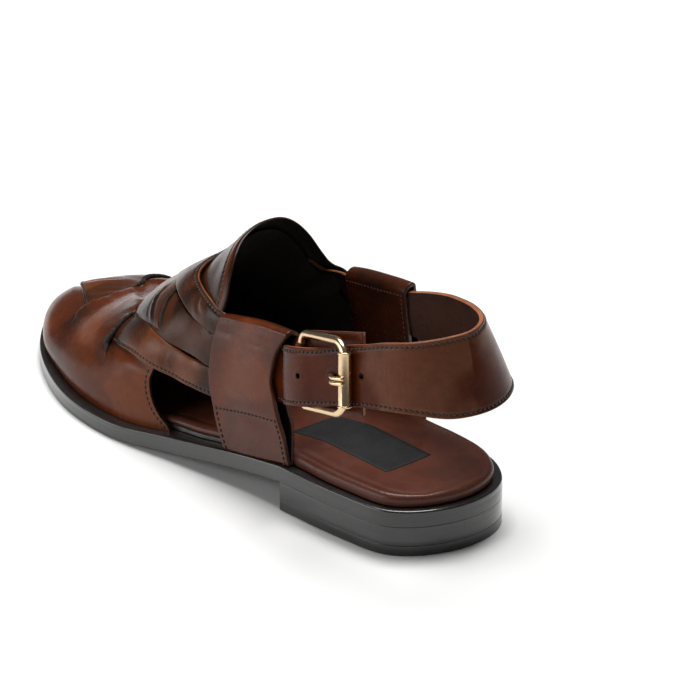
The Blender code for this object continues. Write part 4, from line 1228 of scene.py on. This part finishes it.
def make_side_band(name, side):
    """A band folded over the collar and sewn down: outer leg, top fold and inner leg."""
    down = np.linspace(BAND_TOP[side], 1.0, 46)
    closing = np.clip((down - LINING_MEET) / (1 - LINING_MEET), 0, 1)
    deep = -BAND_DEPTH[side]
    outer_leg = band_leg(side, down[::-1], np.full(len(down), GAP + BAND_WALL), 40)
    inner_leg = band_leg(side, down, deep + (LINING_FOOT - deep) * closing, 40)
    top_outer, top_inner = on_ledge(outer_leg, BAND_FOOT)[-1], on_ledge(inner_leg, BAND_FOOT)[0]
    fold = []
    for angle in np.linspace(0, math.pi, 16)[1:-1]:
        middle = (top_outer + top_inner) / 2 + (top_outer - top_inner) / 2 * math.cos(angle)
        fold.append(middle + np.array((0, 0, FOLD_CROWN[side])) * math.sin(angle))
    grid = np.concatenate([outer_leg, np.array(fold), inner_leg])
    width = np.linalg.norm(np.diff(grid, axis=1), axis=2).sum(1)
    away = edge_places(width, 26)
    grid = resampled(grid, away, width)
    back = width[:, None] - away
    normal = grid_normals(grid, flip=side == INNER)
    length = np.linalg.norm(np.diff(grid.mean(1), axis=0), axis=1)
    reach = np.concatenate([[0], np.cumsum(length)])
    travel = np.broadcast_to(reach[:, None], away.shape)
    outer_length = reach[len(down) - 1]
    height = cut_profile(away, back, False, False)
    share = away / width[:, None]
    height = height + 0.4 * np.sin(math.pi * share)
    for fold_here in BAND_FOLDS:
        past = travel - fold_here.travel * outer_length
        aside = share - fold_here.share
        dent = (past / fold_here.wide) ** 2 + (aside / 0.22) ** 2
        ridge = ((past - 2 * fold_here.wide) / fold_here.wide) ** 2 + (aside / 0.2) ** 2
        height = height - fold_here.depth * np.exp(-dent) + 0.5 * fold_here.depth * np.exp(-ridge)
    outer = grid + normal * height[..., None]
    inner = grid - normal * (BAND_WALL - 0.2)
    edge = np.minimum(away, back)
    # Darker by the band's foot and over its inner leg inside the shoe, with a painted highlight
    # across the middle of the outer leg.
    shade = 0.15 * np.exp(-travel / 6) + 0.55 * ease((travel - outer_length - 2) / 6)
    shade = shade - 0.25 * bell(travel - 0.55 * outer_length, 9)
    piece = strip_piece(name + "_leather", outer, inner, edge, [BAND_LEATHER, RAW_BROWN, LINING],
                        shade)
    settle(piece, "side_band", name)

    # Cross stitch above the foot, then down both sides of it.
    row = len(down) - 1 - int(np.abs(down - BAND_SEAM).argmin())
    lifted = outer + normal * 0.15
    near = EDGE_STEPS.tolist().index(2.05)
    far = -1 - near
    across = slice(near, far + 1)
    make_stitches(name + "_stitching", [lifted[row, across], lifted[1: row + 1, near],
                                        lifted[1: row + 1, far]], "side_band")
    first = len(grid) - len(down) + 1
    make_stitches(name + "_inner_stitching", [lifted[first: -2, near], lifted[first, across]],
                  "side_band", length=1.5, thick=0.5, thread=TAN_THREAD)


# ---------------------------------------------------------------- heel strap and chape

Rib = namedtuple("Rib", "low_x low_along low_up high_x high_along high_up")
STRAP = rows_of(
    Rib,
    (-37.8, 76.3, 48.3, -34.3, 80.6, 72.6), (-42.0, 69.5, 51.2, -38.3, 74.5, 75.4),
    (-43.5, 62, 54, -39.7, 67, 78), (-43.2, 55, 56, -39.4, 60, 80),
    (-41.2, 48.5, 57.9, -37.3, 53.7, 81.6), (-38.8, 40.5, 60.3, -35, 45.7, 84.6),
    (-37, 32.5, 62.6, -33.2, 37.7, 87.7), (-35, 24.5, 64.9, -31.2, 29.7, 90.3),
    (-32.2, 15.5, 66.2, -28.6, 20.2, 93.7), (-26, 4, 67, -22, 8, 96.5),
    (-12, -6.5, 65, -10, 1, 98), (5, -9.3, 64.8, 3, -0.5, 98.5),
    (17.5, -5.5, 65, 12.5, 5, 98), (28.5, 4, 65, 19.5, 14, 97), (34, 16, 64.2, 24, 25, 95.5),
    (36.5, 30, 62.2, 27.2, 36, 93.2), (37, 44, 59, 28.5, 48, 91), (36.6, 57, 55.5, 29, 60.5, 87.5),
)
HEEL_SIDES = [HEEL_LEATHER, RAW_TAN, LINING_BROWN]
STRAP_WALL = 2.2
RIB_CROWN = 0.3
CHAPE_WALL = 1.2
OUTER_ENTRY = ((98, -0.837, -0.665), (87, -0.837, -0.665))
INNER_ENTRY = ((76, 0.765, 0.608), (86, 0.78, 0.625), (97, 0.795, 0.64), (108, 0.81, 0.65))

BUCKLE_PLACE = np.array((-38.9, 50.5, 70.0))
BUCKLE_RUN = np.array((0.103, -0.977, 0.185))
BUCKLE_RUN = BUCKLE_RUN / np.linalg.norm(BUCKLE_RUN)
BUCKLE_RISE = np.array((0.150, 0.199, 0.968))
BUCKLE_RISE = BUCKLE_RISE - BUCKLE_RUN * (BUCKLE_RISE @ BUCKLE_RUN)
BUCKLE_RISE = BUCKLE_RISE / np.linalg.norm(BUCKLE_RISE)
BUCKLE_OUT = np.cross(BUCKLE_RUN, BUCKLE_RISE)


def buckle_point(run, rise, out):
    """A point given in the buckle's own frame."""
    run, rise, out = (np.asarray(value, float)[..., None] for value in (run, rise, out))
    return BUCKLE_PLACE + run * BUCKLE_RUN + rise * BUCKLE_RISE + out * BUCKLE_OUT


def entry_rib(entry, lift):
    along, low, high = entry
    return skin(np.full(2, along), np.array((low, high)), np.full(2, lift))


def rib_strip(name, ribs, count, thick, materials, slot, grooves, shade=None, middle=14,
              relief=None):
    """A strip between ribs, and the face over it that its stitching lies on."""
    ribs = through(ribs, count, ribs.mean(1))
    width = np.linalg.norm(ribs[:, 1] - ribs[:, 0], axis=1)
    away = edge_places(width, middle)
    share = (away / width[:, None])[..., None]
    grid = ribs[:, None, 0] * (1 - share) + ribs[:, None, 1] * share
    normal = grid_normals(grid)
    back = width[:, None] - away
    height = cut_profile(away, back, *grooves) + RIB_CROWN * np.sin(math.pi * share[..., 0])
    if relief is not None:
        height = height + relief(grid)
    outer = grid + normal * height[..., None]
    inner = grid - normal * thick
    painted_light_and_shade = np.zeros_like(away) if shade is None else shade(grid)
    piece = strip_piece(name, outer, inner, np.minimum(away, back), materials, painted_light_and_shade)
    return settle(piece, slot), outer + normal * THREAD_LIFT


Hole = namedtuple("Hole", "run rise half_run half_rise")
HOLES = (Hole(-9.7, -0.5, 1.3, 1.3), Hole(9.2, 1.2, 2.3, 2.3), Hole(25, 3.7, 1.3, 1.3))


def strap_relief(grid):
    """Rims pressed round the punched holes, and fine wrinkles where the strap bends."""
    run = (grid - BUCKLE_PLACE) @ BUCKLE_RUN
    rise = (grid - BUCKLE_PLACE) @ BUCKLE_RISE
    outside = grid[..., 0] < 0
    height = np.zeros(run.shape)
    for hole in HOLES:
        away = np.hypot((run - hole.run) / hole.half_run, (rise - hole.rise) / hole.half_rise)
        gap = (away - 1) * (hole.half_run + hole.half_rise) / 2
        height += 0.12 * bell(gap - 0.9, 0.55)
        height -= 0.08 * bell(gap - 2.0, 0.6)
    wrinkle = np.sin(run * 2.9 + 0.7 * np.sin(rise * 0.35)) * np.sin(run * 0.43 + 1)
    bent = bell(run - 36, 12) * bell(rise - 2, 10)
    return outside * (height - 0.07 * wrinkle * bent)


def strap_highlight_and_shade(grid):
    """Painted highlight towards the heel's corner, warm by the buckle, painted shade where it
    enters the band.
    """
    along = np.where(grid[..., 0] < 0, grid[..., 1], -10)
    return -0.9 * bell(along - 6, 9) - 0.2 * bell(along - 62, 10) + 0.25 * bell(along - 72, 6)


def make_heel_strap():
    """Sling strap round the heel: stitched along both edges, punched at the buckle."""
    ribs = [entry_rib(entry, -GAP) for entry in OUTER_ENTRY]
    ribs += [np.array(rib).reshape(2, 3) for rib in STRAP]
    ribs += [entry_rib(entry, -GAP) for entry in INNER_ENTRY]
    piece, face = rib_strip(
        "heel_strap_leather", np.array(ribs), 420, STRAP_WALL, HEEL_SIDES, "heel_strap",
        (True, True), shade=strap_highlight_and_shade, middle=26, relief=strap_relief,
    )
    sides_count = 28
    turn = np.linspace(0, 2 * math.pi, sides_count, endpoint=False)
    for hole in HOLES:
        rings = np.array([
            buckle_point(hole.run + hole.half_run * np.cos(turn),
                         hole.rise + hole.half_rise * np.sin(turn), np.full(sides_count, out))
            for out in (-9.0, 4.0)
        ])
        faces = grid_faces(2, sides_count, ring=True)
        faces += [tuple(range(sides_count)), tuple(range(sides_count, 2 * sides_count))]
        punch = make_mesh("punch", rings, faces, [RAW_DARK])
        cut = piece.modifiers.new("hole", "BOOLEAN")
        cut.operation = "DIFFERENCE"
        cut.solver = "EXACT"
        cut.material_mode = "TRANSFER"
        cut.object = punch
        baked(piece)
        bpy.data.meshes.remove(punch.data)
    piece.data.set_sharp_from_angle(angle=math.radians(50))
    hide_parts("heel_strap")
    column = EDGE_STEPS.tolist().index(1.7)
    shown = slice(28, -52)  # the strap's ends lie inside the side bands
    make_stitches("heel_strap_stitching", [face[shown, column], face[shown, -1 - column]],
                  "heel_strap", thick=1.0)


# ---------------------------------------------------------------- buckle

HINGE = (-15.0, 0.3, -5.2)
CATCH = (19.0, 1.7, 1.1)
FRAME_HALF = {-1: -14.8, 1: 15.8}
HINGE_CORNER = 4.0
CATCH_CORNER = 7.5
WIRE = 1.75
ROLLER_HALF = 11.6
ROLLER_RADIUS = 3.1
# A sleeve with a small flange at each end: shares of its half length and of its radius.
ROLLER_SHAPE = ((-1, 0.86), (-0.99, 1.0), (-0.93, 1.0), (-0.925, 0.93), (-0.9, 0.91), (0, 0.92),
                (0.9, 0.91), (0.925, 0.93), (0.93, 1.0), (0.99, 1.0), (1, 0.86))
# The prong's line, as (run, out) in the buckle's own frame.
PRONG_LINE = ((-15, -2.6), (-12.4, -4.0), (-8, -4.2), (-2, -4.0), (4.6, -3.9), (7.2, -3.0),
              (9.4, -0.7), (10.9, 1.7), (12.8, 3.5), (15, 4.8), (18.5, 5.2), (21.6, 4.4))
PRONG_SPREAD = 6  # run from which its two bars draw a little apart
PRONG_WIRE = 0.95


def tube_piece(name, path, radius, slot, material, count=20, closed=False):
    """A round wire along a path of points."""
    path = np.asarray(path, float)
    if closed:
        run = np.roll(path, -1, 0) - np.roll(path, 1, 0)
    else:
        run = np.gradient(path, axis=0)
    run /= np.linalg.norm(run, axis=1)[:, None]
    side = np.cross(run, BUCKLE_OUT)
    steep = np.linalg.norm(side, axis=1) < 0.2
    side[steep] = np.cross(run[steep], BUCKLE_RISE)
    side /= np.linalg.norm(side, axis=1)[:, None]
    over = np.cross(side, run)
    angle = np.linspace(0, 2 * math.pi, count, endpoint=False)[None, :, None]
    radius = np.broadcast_to(np.asarray(radius, float), len(path))[:, None, None]
    rings = path[:, None] + radius * (np.cos(angle) * side[:, None]
                                      + np.sin(angle) * over[:, None])
    faces = grid_faces(len(path), count, ring=True, loop=closed)
    if not closed:
        faces += [tuple(range(count)), tuple(range((len(path) - 1) * count, len(path) * count))]
    return settle(make_mesh(name, rings, faces, [material]), slot)


def joined(name, pieces):
    """Several finished pieces as one mesh."""
    body = bmesh.new()
    for piece in pieces:
        body.from_mesh(piece.data)
    mesh = bpy.data.meshes.new(name)
    body.to_mesh(mesh)
    body.free()
    for material in pieces[0].data.materials:
        mesh.materials.append(material)
    slot = pieces[0]["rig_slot"]
    for piece in pieces:
        bpy.data.objects.remove(piece)
    made = bpy.data.objects.new(name, mesh)
    bpy.context.scene.collection.objects.link(made)
    return settle(made, slot)


def make_buckle():
    """Round-wire frame, flanged roller and a forked prong."""
    corners = [(HINGE, -1), (HINGE, 1), (CATCH, 1), (CATCH, -1)]
    posts = np.array([buckle_point(bar[0], bar[1] + FRAME_HALF[sign], bar[2])
                      for bar, sign in corners])
    path = []
    radii = (HINGE_CORNER, HINGE_CORNER, CATCH_CORNER, CATCH_CORNER)
    for here, before, after, radius in zip(posts, np.roll(posts, 1, 0), np.roll(posts, -1, 0),
                                           radii):
        to_before = (before - here) / np.linalg.norm(before - here)
        to_after = (after - here) / np.linalg.norm(after - here)
        middle = here + (to_before + to_after) * radius
        for angle in np.linspace(0, math.pi / 2, 14):
            path.append(middle - radius * (to_after * math.cos(angle)
                                           + to_before * math.sin(angle)))
    frame_piece = tube_piece("buckle_wire_frame", path, WIRE, "buckle", GOLD, closed=True)
    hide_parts("buckle_frame")

    path = [buckle_point(CATCH[0], CATCH[1] + ROLLER_HALF * at, CATCH[2])
            for at, _ in ROLLER_SHAPE]
    radius = [ROLLER_RADIUS * size for _, size in ROLLER_SHAPE]
    roller = tube_piece("buckle_roller_sleeve", path, radius, "buckle", GOLD, count=28)
    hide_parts("buckle_roller")

    # Prong: two bars side by side, with a hub round the near bar.
    run, out = through(PRONG_LINE, 60).T
    rise = np.interp(run, (HINGE[0], CATCH[0]), (HINGE[1], CATCH[1]))
    apart = 0.9 + 0.15 * 1.05 * ease((run - PRONG_SPREAD) / 3)
    pieces = []
    for sign in (-1, 1):
        path = buckle_point(run, rise + sign * apart, out)
        pieces.append(tube_piece(f"prong_bar_{sign}", path, PRONG_WIRE, "buckle", GOLD, count=14))
    hub = [buckle_point(HINGE[0], HINGE[1] + at, HINGE[2]) for at in (-1.7, -1.6, 1.6, 1.7)]
    pieces.append(tube_piece("prong_hub", hub, [2.2, 2.4, 2.4, 2.2], "buckle", GOLD))
    prong = joined("buckle_prong_bars", pieces)
    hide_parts("buckle_prong")


BACKING = ((-17, -14.5, 16, -6.9), (0, -14.4, 18.6, -6.4), (22.5, -13.5, 21.2, -5.8))
LOOP_HALF = 11.8
LOOP_ROUND = 2.7


def make_chape():
    """The leather that holds the buckle: a backing behind the strap, and a loop."""
    depth = -(2 * GAP + STRAP_WALL)
    ribs = [entry_rib(entry, depth) for entry in OUTER_ENTRY]
    ribs.append(np.array(STRAP[0]).reshape(2, 3) + (STRAP_WALL + 2 * GAP, 0, 0))
    for run, low, high, out in BACKING:
        ribs.append(buckle_point(run, (low, high), out))
    pieces = [rib_strip("chape_backing", np.array(ribs), 60, CHAPE_WALL, HEEL_SIDES, "chape",
                        (False, False))[0]]
    for sign in (-1, 1):
        rows = [(HINGE[0] + LOOP_ROUND * math.cos(angle), LOOP_ROUND * math.sin(angle))
                for angle in np.linspace(0, math.pi, 24)]
        rows = np.array([(HINGE[0] + 6.5, -1.6), (HINGE[0] + 4, -1.0), *rows,
                         (HINGE[0] - 6, -2.0)])
        low, high = sorted((sign * 2.5, sign * LOOP_HALF))
        ribs = np.stack([buckle_point(rows[:, 0], HINGE[1] + level, HINGE[2] + rows[:, 1])
                         for level in (low, high)], 1)
        pieces.append(rib_strip(f"chape_loop_{sign}", ribs[::-1], 50, 1.0, HEEL_SIDES, "chape",
                                (False, False))[0])
    chape = joined("chape_leather", pieces)
    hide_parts("buckle_chape")


# ---------------------------------------------------------------- sole, heel, board and sock

def spaced(start, end, count, round_end):
    """Stations that come closer together towards the start, and towards a rounded end."""
    share = np.linspace(0, 1, count)
    if round_end:
        share = (1 - np.cos(math.pi * share)) / 2
    else:
        share = 1 - np.cos(math.pi / 2 * share)
    return start + (end - start) * share


Edge = namedtuple("Edge", "inset from_top height")


def edge_profile(from_top, from_bottom):
    """A layer's edge as (inset, distance) steps below its top, then above its bottom."""
    return ([Edge(inset, True, down) for inset, down in from_top]
            + [Edge(inset, False, up) for inset, up in from_bottom])


def layer_piece(name, node_name, curve, profile, bottom, top, materials, slots=(0, 0, 0),
                count=150, flat_front=None, middle=12, relief=None):
    """A layer of the sole: its edge profile runs round a closed curve, its faces are filled."""
    low_end, high_end = curve[:, 1].min(), curve[:, 1].max()
    if flat_front is not None:
        high_end = flat_front
    rows = spaced(low_end, high_end, count, round_end=flat_front is None)
    outer_columns, inner_columns = [], []
    for step in profile:
        ring = inset_curve(curve, step.inset)
        start = ring[:, 1].min()
        end = ring[:, 1].max() if flat_front is None else flat_front - step.inset
        along = start + (rows - low_end) * (end - start) / (high_end - low_end)
        outer_x, inner_x = sides(ring, along)
        up = top(along) - step.height if step.from_top else bottom(along) + step.height
        outer_columns.append(np.stack([outer_x, along, up], -1))
        inner_columns.append(np.stack([inner_x, along, up], -1))
    share = np.linspace(0, 1, middle + 2)[1:-1, None, None]
    across_bottom = outer_columns[-1] + (inner_columns[-1] - outer_columns[-1]) * share
    across_top = inner_columns[0] + (outer_columns[0] - inner_columns[0]) * share
    loop = np.concatenate([np.array(outer_columns), across_bottom,
                           np.array(inner_columns[::-1]), across_top])
    grid = loop.transpose(1, 0, 2).copy()
    if relief is not None:
        grid[..., 2] += relief(grid)
    columns = grid.shape[1]
    faces = grid_faces(len(rows), columns, ring=True)
    place = np.tile(np.arange(columns), len(rows) - 1)
    steps = len(profile)
    top_part = (place >= columns - middle - 1) | (place < 1)
    low_part = (place >= steps - 1) & (place < steps + middle)
    kinds = np.where(top_part, slots[0], np.where(low_part, slots[2], slots[1]))
    if flat_front is not None:
        faces.append(tuple(range((len(rows) - 1) * columns, len(rows) * columns)))
        kinds = np.concatenate([kinds, [slots[1]]])
    blank = np.zeros(len(rows) * columns)
    piece = make_mesh(name, grid, faces, materials, kinds, {"rim": blank, "shade": blank})
    piece.data.set_sharp_from_angle(angle=math.radians(50))
    return settle(piece, node_name, node_name)


def flat(level):
    return lambda along: np.full(np.shape(along), float(level))


OUTSOLE_EDGE = edge_profile(
    ((3.0, 0), (0.9, 0), (0.35, 0.15), (0.08, 0.45), (0, 0.9), (0, 2.4), (0.05, 2.6), (0, 2.8)),
    ((0, 0.6), (0.02, 0.12), (0.1, 0.02), (0.3, 0), (3, 0)),
)
# The heel's stacked lifts meet in two fine grooves.
HEEL_SEAMS = (2.75, 5.35)
HEEL_LEVELS = (0.1, 2.6, 2.75, 2.9, 5.2, 5.35, 5.5)
HEEL_PROFILE = edge_profile(
    ((2, 0), (0.04, 0), *((0.015 if level in HEEL_SEAMS else 0.0, level)
                          for level in HEEL_LEVELS)),
    ((0, 0.1), (0.04, 0), (2, 0)),
)
TOP_LIFT_EDGE = edge_profile(((2, 0), (0.1, 0), (0, 0.1), (0, 0.4)),
                             ((0, 0.5), (0.15, 0.2), (0.5, 0), (2, 0)))
BOARD_EDGE = edge_profile(((2, 0), (0.5, 0), (0.15, 0.15), (0, 0.5)), ((0, 0.3), (2, 0)))
SOCK_EDGE = edge_profile(
    ((9, 0), (7.5, 0), (6.5, 0), (5.6, 0), (4.6, 0), (3.6, 0), (2.6, 0.02), (1.7, 0.15),
     (0.9, 0.5), (0.35, 1.0), (0.05, 1.6), (0.0, 2.1)),
    ((0.3, 0.2), (1, 0), (3, 0)),
)


def make_sole():
    """Outsole with a rounded, waxed edge; stacked heel; thin top lift."""
    layer_piece("outsole_leather", "outsole", SOLE_CURVE, OUTSOLE_EDGE,
                lambda along: value_at(TREAD, along), ledge_height,
                [SOLE_EDGE, SOLE_EDGE, LIFT_RUBBER], (0, 1, 2), count=220)
    heel = inset_curve(SOLE_CURVE, 0.03)
    layer_piece("heel_stack", "heel_block", heel, HEEL_PROFILE, flat(LIFT_THICK + 0.02),
                flat(HEEL_HEIGHT - 0.02), [HEEL_EDGE], count=110, flat_front=BREAST)
    layer_piece("top_lift_rubber", "heel_top_lift", heel, TOP_LIFT_EDGE, flat(0),
                flat(LIFT_THICK), [LIFT_RUBBER], count=110, flat_front=BREAST)


# Round the heel the sock's rolled edge comes down over the board's edge.
SOCK_WRAP_END = 84  # along
SOCK_WRAP_FADE = 12
PATCH_CENTRE = (-4.4, 66.1)
PATCH_AXIS = (-0.0956, 0.9954)
PATCH_ASIDE = (0.9954, 0.0956)
PATCH_HALF_WIDTH = 12.65
PATCH_HALF_LENGTH = 29.65


def board_top(along):
    return ledge_height(along) + GAP + BOARD_THICK


def sock_wrap(along):
    return ease((SOCK_WRAP_END - along) / SOCK_WRAP_FADE)


def sock_base(along):
    return board_top(along) + 0.05 - 1.85 * sock_wrap(along)


def sock_top(along):
    return ledge_height(along) + BOARD_THICK + 2 * GAP + FOOTBED_THICK


def make_bed():
    """Insole board, padded sock with a rolled edge, and its bare woven patch."""
    inset = value_at(BOARD_INSET, SOLE_CURVE[:, 1])
    layer_piece("insole_board_edge", "insole_board", inset_curve(SOLE_CURVE, inset), BOARD_EDGE,
                lambda along: ledge_height(along) + 0.05, board_top, [BOARD_FINISH])
    sock = inset_curve(SOLE_CURVE, inset + GAP - 1.9 * sock_wrap(SOLE_CURVE[:, 1]))

    def relief(grid):
        """The sock is pressed down under the heel, and full round its edge."""
        across, along, up = grid[..., 0], grid[..., 1], grid[..., 2]
        high = ease((up - sock_base(along) - 1.2) / 1.2)
        outer_x, inner_x = sides(sock, along)
        edge = np.minimum(across - outer_x, inner_x - across).clip(0)
        edge = np.minimum(edge, (along - sock[:, 1].min()).clip(0) * 0.9)
        roll = 0.35 * bell(edge - 2.4, 1.6) - 0.35 * bell(edge - 5.6, 1.3)
        heel = 0.8 * np.exp(-(((along - 36) / 24) ** 2 + (across / 17) ** 2))
        return high * (roll - heel)

    piece = layer_piece("padded_sock", "footbed", sock, SOCK_EDGE, sock_base, sock_top,
                        [SOCK_LEATHER], count=180, middle=24, relief=relief)

    # A bare black patch, sewn on along the foot.
    width = np.linspace(-PATCH_HALF_WIDTH, PATCH_HALF_WIDTH, 14)[None, :, None]
    length = np.linspace(-PATCH_HALF_LENGTH, PATCH_HALF_LENGTH, 30)[:, None, None]
    plan = np.array(PATCH_CENTRE) + length * np.array(PATCH_AXIS) + width * np.array(PATCH_ASIDE)
    level = sock_top(plan[..., 1])
    up = level + relief(np.concatenate([plan, level[..., None]], -1)) + 0.25
    grid = np.concatenate([plan, up[..., None]], -1)
    settle(sheet_piece("sock_patch", grid, 0.3, [LABEL_CLOTH] * 3, 0.08, 1), "footbed")


# ---------------------------------------------------------------- floor, light and camera

FLOOR_HALF = 3.0
FLOOR_COLOURS = ((0.86, 0.86, 0.855, 1), (0.88, 0.88, 0.875, 1))
ROOM_LIGHT = 0.09
Lamp = namedtuple("Lamp", "name place aim size power")
LAMPS = rows_of(
    Lamp,
    ("overhead_light", (0.25, 0.4, 1.7), (0, 0.1, 0), 1.1, 40),
    ("side_light", (-1.5, 0.5, 0.6), (0, 0.1, 0.05), 1.0, 9),
    ("front_light", (-1.3, 1.3, 0.3), (-0.02, 0.15, 0.04), 0.5, 3),
)
CAMERA_TURN = math.radians(-36.3)
CAMERA_RISE = math.radians(24.6)
CAMERA_DISTANCE = 2.4027
CAMERA_AIM = (0.0348, 0.09145, 0.0341)
CAMERA_LENS = 285.6


def make_floor():
    corners = [(across * FLOOR_HALF, along * FLOOR_HALF, 0)
               for across, along in ((-1, -1), (1, -1), (1, 1), (-1, 1))]
    mesh = bpy.data.meshes.new("floor")
    mesh.from_pydata(corners, [], [(0, 1, 2, 3)])
    floor = bpy.data.objects.new("floor", mesh)
    bpy.context.scene.collection.objects.link(floor)
    material, tree, shader = new_material("floor_paper")
    mask = noise(tree, own_place(tree), 3.0, 2.0, 0.5)
    plug(tree, shader, ("Base Color", blend_colour(tree, mask, *FLOOR_COLOURS)),
         ("Roughness", 0.7))
    mesh.materials.append(material)


def make_stage():
    make_floor()
    scene = bpy.context.scene
    scene.view_settings.view_transform = "Standard"
    world = bpy.data.worlds.new("studio")
    scene.world = world
    world.use_nodes = True
    plug(world.node_tree, world.node_tree.nodes["Background"], ("Color", (1, 1, 1, 1)),
         ("Strength", ROOM_LIGHT))
    for lamp in LAMPS:
        light = bpy.data.lights.new(lamp.name, "AREA")
        light.size = lamp.size
        light.energy = lamp.power
        lit = bpy.data.objects.new(lamp.name, light)
        lit.location = lamp.place
        toward = Vector(lamp.aim) - Vector(lamp.place)
        lit.rotation_euler = toward.to_track_quat("-Z", "Y").to_euler()
        scene.collection.objects.link(lit)

    level = math.cos(CAMERA_RISE)
    back = Vector((level * math.sin(CAMERA_TURN), -level * math.cos(CAMERA_TURN),
                   math.sin(CAMERA_RISE)))
    camera = bpy.data.objects.new("camera", bpy.data.cameras.new("camera"))
    camera.location = Vector(CAMERA_AIM) + back * CAMERA_DISTANCE
    camera.rotation_euler = back.to_track_quat("Z", "Y").to_euler()
    camera.data.lens = CAMERA_LENS
    camera.data.sensor_width = 36
    camera.data.clip_end = 20
    scene.collection.objects.link(camera)
    scene.camera = camera


def main():
    make_stage()
    make_sole()
    make_bed()
    make_vamp()
    make_linings()
    make_weave()
    make_tongue()
    make_side_band("lateral_side_band", OUTER)
    make_side_band("medial_side_band", INNER)
    make_heel_strap()
    make_buckle()
    make_chape()


main()
